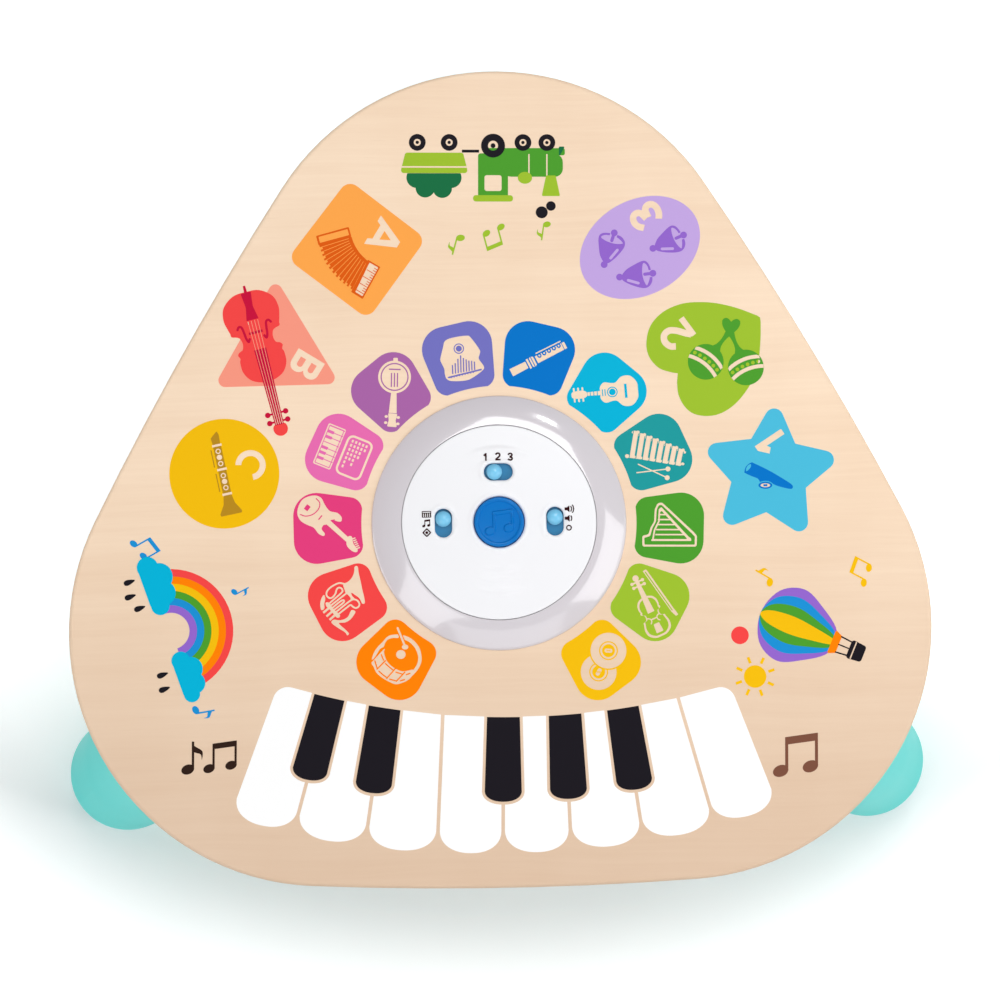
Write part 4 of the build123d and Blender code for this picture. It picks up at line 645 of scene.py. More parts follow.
def synth_mark():
    """A pad box above a small keyboard."""
    marks = on(panel(0, -8.2, 20.4, 8.8, 0.7)) + off(panel(0, -8.2, 19.2, 7.6, 0.3))
    marks += on(panel(0, -8.2, 18.4, 6.8, 0.2))
    marks += off([bar(x, -12, x, -4, 0.4) for x in np.arange(-2, 5) * 2.63 - 3.94])
    marks += off([bar(x, -11.8, x, -8.6, 1.4) for x in (-6.6, -3.9, 1.3, 3.9, 6.6)])
    marks += on(panel(0.6, 4.6, 19.6, 12.8, 3.0)) + off(panel(0.6, 4.6, 17.6, 10.8, 2.1))
    for row, count in enumerate((7, 5, 6, 4, 2)):
        marks += on([panel(-6.4 + 2.1 * k, 1.0 + 1.75 * row, 1.35, 0.95, 0.2) for k in range(count)])
    return marks


def banjo_mark():
    """A banjo: a round head with a hoop, strings and bridge, a flaring neck and a peg head."""
    marks = on(oval(2.7, 6.3, 8.2), panel(3.2, 14.6, 2.3, 2.6, 0.5), bar(2.4, -1.2, 1.8, -11.8, 2.7, 4.0))
    marks += off(oval(2.7, 6.3, 7.0)) + on(oval(2.7, 6.3, 6.4))
    marks += off([bar(x, 8.3, x - 0.1, 1.3, 0.6) for x in (1.2, 2.7, 4.2)], bar(-0.1, 10.2, 5.7, 10.0, 0.65))
    marks += on(plate([(-1.1, -18.5), (3.9, -18.9), (3.3, -15.6), (4.2, -12.2), (-0.5, -11.8), (-0.2, -15.4)], 0.5))
    return marks + on([oval(x, y, 0.85, 0.7) for x, y in ((-1.4, -13.5), (-1.7, -16.6), (4.6, -14.0), (4.4, -17.2))])


def kalimba_mark():
    """A thumb piano: a hollow block, a sound hole and a fan of tongues over a bar."""
    block = [
        (-6.5, 6.9), (-3.0, 8.6), (4.1, 9.7), (6.4, 8.8), (10.8, 2.8), (11.0, 0.7), (10.5, -1.9), (13.0, -5.6),
        (12.4, -7.7), (7.6, -11.3), (3.9, -12.8), (-3.0, -13.1), (-5.6, -11.9), (-6.5, -9.4), (-6.8, -6.9),
        (-8.6, -3.1), (-8.6, -1.2), (-7.4, 3.8),
    ]
    marks = on(blob(block, 4)) + off(oval(0.5, 3.2, 2.6)) + on(oval(0.5, 3.2, 2.1)) + off(oval(0.5, 3.2, 1.5))
    for k, top in enumerate((-5.0, -4.1, -1.9, -0.2, -1.5, -2.2, -2.8, -2.9, -3.3)):
        x = -2.7 + 1.37 * k
        marks += off(bar(x + 0.2, -9.6 + 0.19 * (x + 2.7), x, top, 0.6))
        marks += off(bar(x - 0.5, -11.6 + 0.24 * (x + 2.7), x - 0.4, -10.9 + 0.24 * (x + 2.7), 0.5))
    return marks + off(rod([(-4.6, -11.3), (11.6, -7.3)], 0.8))


def flute_mark():
    """A recorder: a mouthpiece, a turned joint and a body with finger holes and a key rod."""
    mouthpiece = bar(-15.0, 0, -6.6, 0, 3.9, 3.5), bar(-6.0, 0, -5.0, 0, 5.0)
    joint = bar(-4.4, 0, -3.6, 0, 4.4, 5.4), bar(-3.2, 0, -2.2, 0, 5.2, 4.2)
    body = bar(-1.4, 0, 14.4, 0, 3.7, 3.4), bar(-0.4, 2.9, 13.0, 2.7, 0.6)
    holes = (0.8, 3.4, 6.0, 8.6, 11.2)
    marks = on(*mouthpiece, *joint, *body) + off([oval(x, 1.3, 1.05, 1.25) for x in holes])
    return marks + on([oval(x, 1.2, 0.45) for x in holes]) + off(bar(12.9, -2.2, 12.9, 2.2, 0.3))


def guitar_mark():
    """A round-holed guitar with its bridge, neck and pegs."""
    outline = [
        (0, -0.8), (3.0, -0.8), (5.2, -3.0), (4.6, -6.6), (4.8, -9.0), (7.5, -12.2), (7.5, -16.6), (4.0, -19.7),
        (0, -20.0),
    ]
    mirror = [(-x, y) for x, y in outline[-2:0:-1]]
    marks = on(blob(outline + mirror)) + off(oval(0, -6.9, 2.7)) + on(oval(0, -6.9, 2.2)) + off(oval(0, -6.9, 1.7))
    marks += off(bar(-3.6, -13.8, 3.6, -13.8, 1.3), bar(-1.7, -3.2, 1.7, -3.2, 0.5), bar(-1.7, -1.9, 1.7, -1.9, 0.5))
    marks += on(bar(0, -1, 0, 6.6, 2.1, 1.8)) + off([bar(-1.4, y, 1.4, y, 0.4) for y in (0.8, 2.6, 4.4, 6.0)])
    marks += on(blob([(-1.0, 6.2), (1.0, 6.2), (2.0, 8.6), (1.6, 13.2), (0, 14.0), (-1.6, 13.2), (-2.0, 8.6)]))
    return marks + on([rod([(-3.3, y), (3.3, y)], 0.9) for y in (8.2, 10.4, 12.6)])


def xylophone_mark():
    """Eight bars on two rails, and two crossed beaters."""
    marks = on(rod([(-11.6, 9.6), (14.2, -0.4)], 1.3), rod([(-14.8, -2.3), (13.4, -6.2)], 1.3), oval(-14.6, -2.3, 1.0))
    for share in np.linspace(0, 1, 8):
        top = (-10.0 + 22.5 * share, 10.3 - 9.0 * share)
        foot = (-12.2 + 22.9 * share, -3.2 - 3.8 * share)
        marks += off(bar(*top, *foot, 3.1)) + on(bar(*top, *foot, 2.35))
        marks += on(oval(top[0] + 0.9, top[1] - 0.6, 0.8), oval(foot[0] + 1.0, foot[1] + 0.6, 0.8))
    for x1, y1, x2, y2 in ((-9.7, -10.6, 5.8, -8.7), (-9.0, -6.4, 5.4, -13.1)):
        marks += on(rod([(x1, y1), (x2, y2)], 0.6), oval(x2, y2, 1.25))
    return marks


def harp_mark():
    """A small harp lying on its foot, with level strings."""
    edge = [
        (-14.9, -9.4), (12.2, -9.4), (12.4, -4.0), (10.8, -2.1), (-4.9, 12.6), (-7.2, 12.4), (-8.7, 9.1), (-9.0, 3.1),
        (-10.8, 0.1), (-11.8, -3.2), (-14.9, -4.0),
    ]
    inset = [
        (-13.8, -8.4), (11.2, -8.4), (11.3, -4.4), (10.0, -3.0), (-5.2, 11.4), (-6.6, 11.3), (-7.7, 9.0), (-8.0, 3.3),
        (-9.9, -0.4), (-11.0, -4.2), (-13.9, -5.0),
    ]
    board = [
        (-11.2, -6.6), (9.6, -6.6), (9.4, -5.2), (8.2, -4.4), (-5.4, 10.4), (-6.7, 9.2), (-7.0, 3.4), (-9.2, -1.0),
        (-10.0, -5.6),
    ]
    marks = on(plate(edge, [1.0, 1.0, 1.4, 2.0, 1.6, 2.0, 4.0, 3.0, 3.0, 1.2, 1.0], 5))
    marks += off(plate(inset, [0.4, 0.4, 0.8, 1.6, 0.8, 1.2, 3.4, 3.4, 3.0, 1.4, 0.5], 5))
    marks += on(plate(board, 0.4))
    marks += off(plate([(-9.2, -5.6), (7.6, -5.6), (-5.2, 8.4), (-6.0, 7.8), (-6.2, 3.2), (-8.4, -1.4)], 0.25))
    for k in range(5):
        y = -3.4 + 2.5 * k
        marks += on(bar(-8.4 + 0.42 * k, y, 6.0 - 2.35 * k, y, 0.75))
    return marks


def fiddle_outline(length, width=1.0):
    """A violin body below the origin: half-widths down its length, as shares of it, mirrored into an outline."""
    side = [
        (0.0, 0.0), (0.08, -0.01), (0.18, -0.06), (0.24, -0.16), (0.245, -0.27), (0.232, -0.31), (0.248, -0.35),
        (0.226, -0.38), (0.184, -0.40), (0.168, -0.458), (0.181, -0.518), (0.212, -0.544), (0.266, -0.562),
        (0.272, -0.6), (0.287, -0.65), (0.307, -0.76), (0.272, -0.89), (0.147, -0.985), (0.0, -1.0),
    ]
    half = np.array(side) * (length * width, length)
    return blob(np.concatenate([half, half[-2:0:-1] * (-1, 1)]), 5)


def violin_mark():
    """A violin in line, with a filled fingerboard and tailpiece, and its bow beside it."""
    fingerboard = [(-1.8, -8.6), (1.8, -8.6), (1.1, 4.6), (-1.1, 4.6)]
    tailpiece = [(-1.9, -19.4), (1.9, -19.4), (1.5, -14.6), (-1.5, -14.6)]
    marks = on(fiddle_outline(21.6, 1.02)) + off(spun(fiddle_outline(19.6, 0.94), 0, 0, -1.0))
    marks += on(plate(fingerboard, 0.2), plate(tailpiece, 0.4))
    marks += on(hoop(-3.2, -12.4, 1.6, 0.6, -70, 110), hoop(3.2, -12.4, 1.6, 0.6, 70, 250))
    marks += on(bar(-1.5, -12.0, 1.5, -12.0, 0.7))
    marks += on(plate([(-1.1, 4.6), (1.1, 4.6), (0.9, 9.0), (-0.9, 9.0)], 0.2), oval(0, 10.2, 1.6, 1.6))
    marks += on([rod([(-2.7, y), (2.7, y)], 0.85) for y in (6.0, 8.2)])
    marks += on([oval(side * 2.9, y, 0.85) for side in (-1, 1) for y in (6.0, 8.2)])
    marks += on(bar(6.4, 11.9, 11.2, -14.2, 0.9), bar(5.2, 11.4, 9.7, -12.6, 0.5), bar(4.9, 11.5, 6.6, 11.8, 0.9))
    return marks + on(plate([(9.2, -12.0), (11.4, -12.2), (12.0, -15.2), (10.6, -15.4)], 0.3))


def cymbals_mark():
    """A pair of hand cymbals, one in front of the other."""
    marks = []
    for x, y, turn in ((-2.5, -5.0, 60), (2.4, 5.6, -4)):
        for radius, inked in ((9.6, False), (8.9, True), (4.7, False), (4.1, True), (3.2, False)):
            marks.append((oval(x, y, radius), inked))
        marks += on(panel(x, y, 3.9, 2.0, 0.9, turn)) + off(bar(x - 1.0, y, x + 1.0, y, 0.5))
    return marks


# ---------------------------------------------------------------- the twelve instrument tiles
TILE_REACH = 86.5
TILE_MIDDLE = (-0.1, DIAL_Y - 0.3)
TILE_BORE = 68.6
TILE_CORNERS = [(-19.7, -15.8), (19.7, -15.8), (14.2, 18.6), (-14.2, 18.6)]
TILE_ROUNDS = [11.5, 11.5, 6.5, 6.5]
TILES = (
    ("drum", "orange", -126.8, drum_mark, 0, 0.0, 0.0, 1.0),
    ("horn", "red", -152.7, horn_mark, 0, 0.0, 0.0, 1.0),
    ("electric_guitar", "pink", -178.4, electric_mark, 0, 0.0, 0.0, 1.0),
    ("synth", "rose", 155.5, synth_mark, -112, 2.3, -0.7, 1.06),
    ("banjo", "purple", 129.3, banjo_mark, 0, 0.0, 0.0, 1.0),
    ("kalimba", "violet", 103.3, kalimba_mark, 0, -0.6, 0.1, 1.0),
    ("flute", "blue", 76.9, flute_mark, 27.3, 0.5, -1.7, 1.04),
    ("guitar", "cyan", 50.6, guitar_mark, 95, -4.9, -1.6, 0.98),
    ("xylophone", "teal", 24.6, xylophone_mark, 0, 0.0, 0.0, 1.0),
    ("harp", "green", -1.4, harp_mark, 0, 0.0, 0.0, 1.0),
    ("violin", "lime", -27.3, violin_mark, 24.7, -4.5, 3.1, 0.99),
    ("cymbals", "yellow", -53.3, cymbals_mark, 0, 0.5, 0.4, 1.0),
)  # name, ink, the tile's angle about the dial, its mark, and the mark's turn, x, y and size
for name, colour, angle, mark, turn, x, y, size in TILES:
    cx = TILE_REACH * cos(radians(angle)) + TILE_MIDDLE[0]
    cy = TILE_REACH * sin(radians(angle)) + TILE_MIDDLE[1]
    marks = moved(on(plate(TILE_CORNERS, TILE_ROUNDS, 12)), angle + 90, cx, cy) + off(oval(0, DIAL_Y, TILE_BORE))
    marks += swapped(moved(mark(), turn, cx + x, cy + y, size))
    printed("tile_" + name, marks, INK_OF[colour])


# ---------------------------------------------------------------- letters and numbers, about 15 mm high
def letter(sign):
    """A plain block letter or number in even strokes."""
    if sign == "A":
        legs = [
            (-8.3, -7.6), (-5.0, -7.6), (-3.9, -5.3), (3.9, -5.3), (5.0, -7.6), (8.3, -7.6), (1.6, 7.5), (-1.6, 7.5),
        ]
        return on(plate(legs, 0.1)) + off(plate([(-2.5, -2.1), (2.5, -2.1), (0, 3.0)], 0.1))
    if sign == "B":
        marks = []
        for low, high, bowl in ((-7.9, 0.2, 3.9), (-0.4, 7.4, 3.7)):
            marks += on(plate([(-4.5, low), (6.4, low), (6.4, high), (-4.5, high)], [0.1, bowl, bowl, 0.1]))
        for low, high in ((-4.8, -1.8), (1.4, 4.4)):
            marks += off(plate([(-1.5, low), (3.4, low), (3.4, high), (-1.5, high)], [0.1, 1.4, 1.4, 0.1]))
        return marks
    if sign == "C":
        return on(hoop(0, 0, 6.07, 2.95, 51, 309))
    if sign == "1":
        stem = [(1.5, -7.9), (1.5, 7.9), (-1.3, 7.9), (-5.6, 3.8), (-3.4, 1.6), (-1.6, 2.8), (-1.6, -7.9)]
        return on(plate(stem, 0.1))
    if sign == "2":
        hook = [(-4.8, 4.4), (-3.1, 6.6), (0.2, 7.5), (3.1, 5.9), (3.6, 2.6), (1.4, -0.5), (-2.4, -3.5), (-4.4, -5.4)]
        return on(stroke(hook, 3.3), plate([(5.1, -7.7), (5.1, -4.6), (-5.6, -4.8), (-5.6, -7.7)], 0.1))
    lower = [(-5.3, -5.0), (-2.8, -6.6), (0.2, -7.1), (2.7, -6.0), (3.4, -3.7), (2.0, -1.7), (-1.9, -0.9)]
    upper = [(-5.2, 3.8), (-2.9, 5.8), (-0.2, 6.4), (2.4, 5.3), (3.1, 3.0), (1.8, 1.1), (-1.9, 0.2)]
    return on(stroke(lower, 3.4), stroke(upper, 3.3))


# ---------------------------------------------------------------- shapes with their instruments
def accordion(part):
    """A squeeze box drawn open in an arc: its bass box, its pleats and its keyboard."""
    keys = [(-64.8, 134.4), (-60.4, 131.8), (-68.3, 117.4), (-71.9, 119.6)]
    if part == "keys":
        white = plate(keys, 0.3)
        lines = []
        for k in range(1, 13):
            share = k / 13
            x1, y1 = np.array(keys[1]) * (1 - share) + np.array(keys[2]) * share
            lines.append(bar(x1, y1, x1 - (1.4 if k % 3 else 3.9), y1 + (0.85 if k % 3 else 2.3), 0.35))
        return white, lines
    inner = bend([(-73.9, 147.4), (-72.4, 143.4), (-69.6, 139.0), (-65.4, 134.8)], 8)
    outer = bend([(-90.0, 143.0), (-86.6, 134.0), (-80.0, 125.8), (-72.4, 120.0)], 8)
    marks = on(plate([(-91.6, 147.7), (-75.3, 152.3), (-73.9, 147.4), (-90.3, 142.9)], 0.5))
    marks += off(plate([(-90.4, 147.2), (-75.9, 151.2), (-75.0, 148.2), (-89.6, 144.2)], 0.3))
    for k in range(24):
        far = 1.0 if k % 2 == 0 else 0.93
        tip, next_tip = (inner[i] + (outer[i] - inner[i]) * far for i in (k, k + 1))
        marks += on(np.array([inner[k], inner[k + 1], next_tip, tip]))
    marks += off([bar(*inner[k] * 0.9 + outer[k] * 0.1, *outer[k], 0.3) for k in range(1, 24, 2)])
    return marks + on(plate([(-65.6, 135.8), (-59.4, 132.1), (-68.2, 116.0), (-74.0, 119.6)], 0.4))


def cello(part):
    """A cello along Y, 77 mm long: its body with the scroll, its dark parts with the pegs, or its strings."""
    if part == "body":
        scroll = [(-2.4, 22.0), (2.4, 22.0), (3.6, 24.4), (2.6, 26.9), (0, 28.0), (-2.6, 26.9), (-3.6, 24.4)]
        return on(fiddle_outline(46.3), blob(scroll))
    if part == "strings":
        return on([bar(x, -31.6, x * 0.62, 22.0, 0.36) for x in (-2.5, -0.85, 0.85, 2.5)])
    tail = [(-2.6, -46.0), (2.6, -46.0), (1.8, -38.6), (3.1, -32.0), (-3.1, -32.0), (-1.8, -38.6)]
    f_hole = [(8.6, -28.8), (7.6, -30.0), (6.3, -29.4), (5.8, -26.8), (5.4, -23.4), (4.6, -21.6), (3.8, -22.9)]
    marks = on(plate([(-3.1, -16.8), (3.1, -16.8), (2.2, 22.3), (-2.2, 22.3)], 0.2), bar(0, -46, 0, -49.5, 1.5, 1.1))
    marks += on(plate(tail, [0.4, 0.4, 6.0, 0.2, 0.2, 6.0]), bar(-3.5, -25.5, 3.5, -25.5, 1.2))
    for side in (-1, 1):
        marks += on(rod(bend(np.array(f_hole) * (side, 1)), 1.15))
        for y in (16.4, 20.6):
            marks += on(rod([(0, y), (side * 4.2, y)], 0.9), oval(side * 4.6, y, 1.35))
    return marks


def clarinet(part):
    """A clarinet along Y, 42 mm long, with its bare bands and finger holes."""
    if part == "bare":
        marks = on([bar(-2.4, y, 2.4, y, 1.2) for y in (14.6, 2.4, -10.2)])
        for k, y in enumerate((11.6, 8.5, 5.3, -0.8, -3.8, -7.0)):
            marks += on(oval(0, y, 1.35)) + (off(oval(0, y, 0.75)) if k % 3 != 1 else [])
        return marks
    mouth = [(-2.0, 15.0), (1.8, 15.0), (2.0, 19.6), (1.3, 21.6), (-2.3, 18.6)]
    flare = [
        (-2.0, -10.8), (2.0, -10.8), (2.9, -15.2), (5.5, -19.6), (5.2, -20.7), (-5.2, -20.7), (-5.5, -19.6),
        (-2.9, -15.2),
    ]
    marks = on(plate(mouth, 0.3), bar(0, -10, 0, 14.4, 4.2, 4.0), plate(flare, 0.3))
    return marks + on(bar(-3.4, 4.0, -3.4, 12.8, 0.55), bar(-3.4, -8.4, -3.4, 0.8, 0.55))


def bell(x, y, turn):
    """A hand bell on its side, open along X: its cup, knob, clapper and a light line."""
    cup = [
        (-7.0, 0.9), (-4.6, 3.3), (-1.2, 5.0), (2.7, 6.5), (5.0, 6.7), (6.7, 5.2), (7.6, 1.9), (7.8, -3.1), (6.4, -5.8),
        (4.2, -6.9), (1.4, -6.5), (-2.8, -4.7), (-6.0, -2.7), (-7.3, -1.2),
    ]
    mouth = [
        (4.4, 5.7), (5.9, 4.3), (6.5, 1.7), (6.6, -2.0), (5.2, -5.2), (4.4, -5.5), (3.4, -2.7), (3.1, 0.4), (3.5, 3.8),
    ]
    marks = on(blob(cup), oval(-8.4, 0, 1.7))
    marks += off(blob(mouth), bar(6.0, 0, 9.0, 0, 3.6), rod([(-4.3, -2.1), (0.6, -4.1)], 1.4))
    return moved(marks + on(rod([(4.3, 0), (7.4, 0)], 1.6), oval(8.4, 0, 1.7)), turn, x, y)


MARACA_BALL = 8.95


def maraca(x, y, turn, part):
    """A maraca with its grip up Y: its ball and grip, its two bare bands, or the dots between them."""
    if part == "bands":
        bands = [hoop(0, y0 - 21.4, 21.4, 1.9, 66, 114) for y0 in (4.15, -1.05)]
        reach = [np.linalg.norm(band, axis=1)[:, None] for band in bands]
        return moved(on([band * np.minimum(1, MARACA_BALL / far) for band, far in zip(bands, reach)]), turn, x, y)
    if part == "dots":
        return moved(on([oval(dx, 1.1 - 0.016 * dx**2, 0.95) for dx in (-7.1, -4.3, -1.4, 1.4, 4.2, 6.9)]), turn, x, y)
    grip = [(2.6, 7.0), (1.2, 11.0), (1.0, 15.0), (1.9, 19.5), (2.4, 23.5), (1.5, 26.2), (0, 26.9)]
    grip = blob(grip + [(-gx, gy) for gx, gy in grip[-2::-1]])
    return moved(on(oval(0, 0, MARACA_BALL), grip), turn, x, y)


def kazoo(part):
    """A kazoo along X: a tapering tube with an open end and a turret."""
    if part == "mouth":
        return on(blob([(-11.6, 2.1), (-11.0, 1.0), (-11.4, -0.9), (-12.2, -2.0), (-12.8, -0.9), (-12.6, 0.9)]))
    if part == "turret":
        return on(oval(-0.7, -4.7, 2.4, 1.0, 23.4)) + off(bar(-1.6, -5.1, 0.2, -4.3, 1.0))
    tube = [
        (-11.5, 3.1), (-10.6, 3.2), (-1.7, 2.8), (6.9, 1.7), (11.4, 0.8), (12.3, -0.6), (10.8, -1.6), (4.7, -2.6),
        (1.6, -2.4), (-0.1, -2.6), (-3.6, -4.1), (-4.6, -3.6), (-5.9, -3.1), (-8.9, -3.2), (-12.3, -3.1),
        (-12.9, -2.8), (-13.3, -0.5), (-12.7, 1.5),
    ]
    turret = off(oval(-0.7, -4.7, 3.9, 2.2, 23.4)) + on(oval(-0.7, -4.7, 3.45, 1.75, 23.4))
    return on(blob(tube)) + turret


def shape_pieces():
    """Each shape's ink with its bare letter, then its instrument in a second ink."""
    square = on(plate([(-75.6, 176.2), (-105.9, 136.1), (-65.5, 105.8), (-36.5, 146.3)], 5.5, 8))
    square += swapped(moved(letter("A"), -120.5, -56.8, 147.1))
    keys, key_lines = accordion("keys")
    printed("shape_square", square + off(keys), INK_OF["apricot"])
    printed("square_accordion", accordion("body") + off(keys) + on(key_lines), INK_OF["rust"], 2)

    cello_at = dict(turn=-165.4, x=-115.1, y=74.6)
    strings = [o for o, _ in moved(cello("strings"), **cello_at)]
    triangle = on(plate([(-111.9, 126.7), (-142.6, 71.6), (-79.5, 73.4)], 3.4, 8))
    triangle += swapped(moved(letter("B"), -121, -95.6, 83.4))
    printed("shape_triangle", triangle, INK_OF["salmon"])
    printed("triangle_cello", moved(cello("body"), **cello_at) + off(strings), INK_OF["red"], 2)
    printed("triangle_cello_dark", moved(cello("dark"), **cello_at) + off(strings), INK_OF["crimson"], 3)

    clarinet_at = dict(turn=12.3, x=-137.6, y=28.3)
    bare = swapped(moved(clarinet("bare"), **clarinet_at))
    disc = on(oval(-136.95, 28.45, 27.4)) + swapped(moved(letter("C"), -129.7, -123.9, 32.7))
    printed("shape_circle", disc + bare, INK_OF["yellow"])
    printed("circle_clarinet", moved(clarinet("body"), **clarinet_at) + bare, INK_OF["brass"], 2)

    ellipse = on(oval(70.6, 142.2, 31.9, 23.8, 29.6)) + swapped(moved(letter("3"), 123.2, 73.0, 158.4))
    printed("shape_oval", ellipse, INK_OF["lilac"])
    printed("oval_bells", bell(84.8, 145.1, 23.8) + bell(68.7, 128.2, 6.7) + bell(55.2, 141.5, 72.3), INK_OF["plum"], 2)

    heart_line = [
        (129.2, 108.0), (119.6, 111.6), (110.3, 113.9), (101.6, 114.7), (91.7, 113.9), (82.2, 109.8), (75.8, 102.8),
        (73.7, 94.0), (75.2, 87.0), (79.8, 81.7), (85.4, 79.6), (89.4, 78.9),
    ]
    lower = [
        (89.0, 74.2), (89.7, 68.3), (92.6, 62.5), (97.2, 58.7), (104.2, 57.5), (111.2, 59.0), (118.2, 63.7),
        (124.0, 70.7), (128.1, 78.3), (130.1, 87.1), (130.9, 96.4), (131.0, 104.6),
    ]
    heart = np.concatenate([bend(heart_line, 5), bend(lower, 5), [(130.7, 107.0)]])
    maracas = [(103.4, 84.7, -38.2), (123.5, 81.9, 23.3)]
    bands = [o for m in maracas for o, _ in maraca(*m, "bands")]
    dots = [o for m in maracas for o, _ in maraca(*m, "dots")]
    printed("shape_heart", on(heart) + swapped(moved(letter("2"), 126.3, 89.2, 98.9)) + off(bands), INK_OF["lime"])
    shakers = maraca(*maracas[0], "body") + maraca(*maracas[1], "body") + off(bands, dots)
    printed("heart_maracas", shakers, INK_OF["green"], 2)

    star = [
        (138.2, 67.0), (148.1, 43.7), (172.8, 38.0), (153.2, 21.6), (154.8, -4.4), (133.4, 9.4), (109.6, 0.0),
        (116.0, 24.5), (99.6, 43.0), (126.0, 46.1),
    ]
    kazoo_at = dict(turn=-23.4, x=135.5, y=26.9)
    turret = swapped(moved(kazoo("turret"), **kazoo_at))
    star_marks = on(plate(star, [4.6, 0.6] * 5, 8)) + swapped(moved(letter("1"), 123.8, 135.2, 45.5))
    printed("shape_star", star_marks + turret, INK_OF["sky"])
    tube = moved(kazoo("body"), **kazoo_at) + swapped(moved(kazoo("mouth"), **kazoo_at)) + turret
    printed("star_kazoo", tube, INK_OF["blue"], 2)


shape_pieces()

# ---------------------------------------------------------------- piano keys
KEY_TOP = (-116.2, -86.6, -57.2, -27.7, 2.5, 33.2, 62.6, 92.2, 122.5)
KEY_MIDDLE = (-131.0, -97.5, -63.05, -29.35, 2.4, 35.05, 69.05, 104.2, 138.7)
KEY_TOP_Y, KEY_MIDDLE_Y = -92.7, -133.9
KEY_SHIFT = -0.3
KEY_ARCH, ARCH_X = 392.0, 2.8  # radius of the keyboard's upper edge, and X of its middle
WHITE_LOW = (-146.8, -154.2, -158.6, -160.0, -159.5, -156.8, -151.3, -142.4)
BLACK_LOW = {1: -124.0, 2: -130.4, 4: -134.6, 5: -133.2, 6: -128.7}
WHITE_FOOT, BLACK_FOOT = 11.1, 5.4
WHITE_GAP, BLACK_GAP = 1.8, 1.42
BLACK_HEAD, BLACK_FLARE, BLACK_RISE = 8.15, 0.028, 3.0
FOOT_LEAN = 0.6  # of the key's own lean
FOOT_BLUNT = 0.91  # the power that squares the half oval up a little
FOOT_LAP = 0.8  # how far the straight part runs down into the foot
HEAD_SHARP, HEAD_ROUND = 0.2, 7.5


def key_slope(index):
    """How fast a key edge moves along X for each step up Y."""
    return (KEY_MIDDLE[index] - KEY_TOP[index]) / (KEY_MIDDLE_Y - KEY_TOP_Y)


def key_line(index, y):
    """X of a key edge at a height: a straight line through its two given points."""
    return KEY_TOP[index] + key_slope(index) * (y - KEY_TOP_Y) + KEY_SHIFT


def key_top(x):
    """Y of the keyboard's arched upper edge."""
    return KEY_TOP_Y + KEY_ARCH - np.sqrt(KEY_ARCH**2 - (np.asarray(x) - ARCH_X) ** 2)


def key(left, right, low, foot, lean, rise, corners):
    """A key between two side lines: a plate up to the arch, over a round foot that is a blunt half oval."""
    lean *= FOOT_LEAN
    half = (right(low + foot) - left(low + foot)) / 2 * cos(lean)
    middle = low + np.hypot(half * sin(lean), foot * cos(lean))
    left_y, right_y = middle + half * sin(lean), middle - half * sin(lean)
    ends = np.array([(left(left_y), left_y), (right(right_y), right_y)])
    across = (ends[1] - ends[0]) / 2
    down = np.array([across[1], -across[0]]) * foot / np.linalg.norm(across)
    turn = np.linspace(0, pi, 41)
    wide = np.sign(np.cos(turn)) * np.abs(np.cos(turn)) ** FOOT_BLUNT
    deep = np.sin(turn) ** FOOT_BLUNT
    round_foot = ends.mean(0) + np.outer(wide, across) + np.outer(deep, down)
    heads = []
    for side in (right, left):
        y = KEY_TOP_Y
        for _ in range(3):
            y = float(key_top(side(y))) + rise
        heads.append((side(y), y))
    feet = [(left(left_y - FOOT_LAP), left_y - FOOT_LAP), (right(right_y - FOOT_LAP), right_y - FOOT_LAP)]
    return [round_foot, plate(feet + heads, [0.3, 0.3, *corners], 9)]


def white_key(index):
    """A white key between two key edges; the outermost have one round head corner."""

    def left(y):
        return key_line(index, y) + WHITE_GAP / 2

    def right(y):
        return key_line(index + 1, y) - WHITE_GAP / 2

    lean = np.arctan((key_slope(index) + key_slope(index + 1)) / 2)
    heads = [HEAD_ROUND if index == outer else HEAD_SHARP for outer in (7, 0)]
    return key(left, right, WHITE_LOW[index], WHITE_FOOT, lean, 0.0, heads)


def black_key(index, grow=0.0):
    """A black key over a key edge, a little wider towards its foot, that runs up past the arch."""

    def half(y):
        return BLACK_HEAD + grow + BLACK_FLARE * (KEY_TOP_Y - y)

    def left(y):
        return key_line(index, y) - half(y)

    def right(y):
        return key_line(index, y) + half(y)

    low, lean = BLACK_LOW[index] - grow, np.arctan(key_slope(index))
    return key(left, right, low, BLACK_FOOT + grow, lean, BLACK_RISE, [HEAD_SHARP] * 2)


white = on([white_key(k) for k in range(8)]) + off([black_key(k, BLACK_GAP) for k in BLACK_LOW])
printed("white_keys", white, INK_OF["white"])
above = np.concatenate([arc(ARCH_X, KEY_TOP_Y + KEY_ARCH, KEY_ARCH, -110, -70, 60), [(160, -40), (-160, -40)]])
printed("black_keys", on([black_key(k) for k in BLACK_LOW]) + off(above), INK_OF["black"])


# ---------------------------------------------------------------- generic pictures in the three corners
def note(x, y, turn=0.0, size=1.0, pair=False):
    """One quaver, or two joined by a beam."""
    if pair:
        heads = oval(-4.2, -4.4, 2.1, 1.5, 22), oval(3.6, -3.2, 2.1, 1.5, 22)
        stems = bar(-2.6, -4.2, -2.6, 4.0, 0.8), bar(5.2, -3.0, 5.2, 5.2, 0.8)
        marks = on(*heads, *stems, plate([(-3.0, 2.4), (5.6, 3.6), (5.6, 5.6), (-3.0, 4.4)], 0.1))
    else:
        marks = on(oval(-1.6, -4.4, 2.2, 1.6, 22), bar(0.1, -4.2, 0.1, 4.8, 0.8))
        marks += on(blob([(0.0, 5.0), (0.6, 3.4), (3.2, 1.6), (3.0, -1.2), (2.6, 0.6), (0.2, 1.6)]))
    return moved(marks, turn, x, y, size)


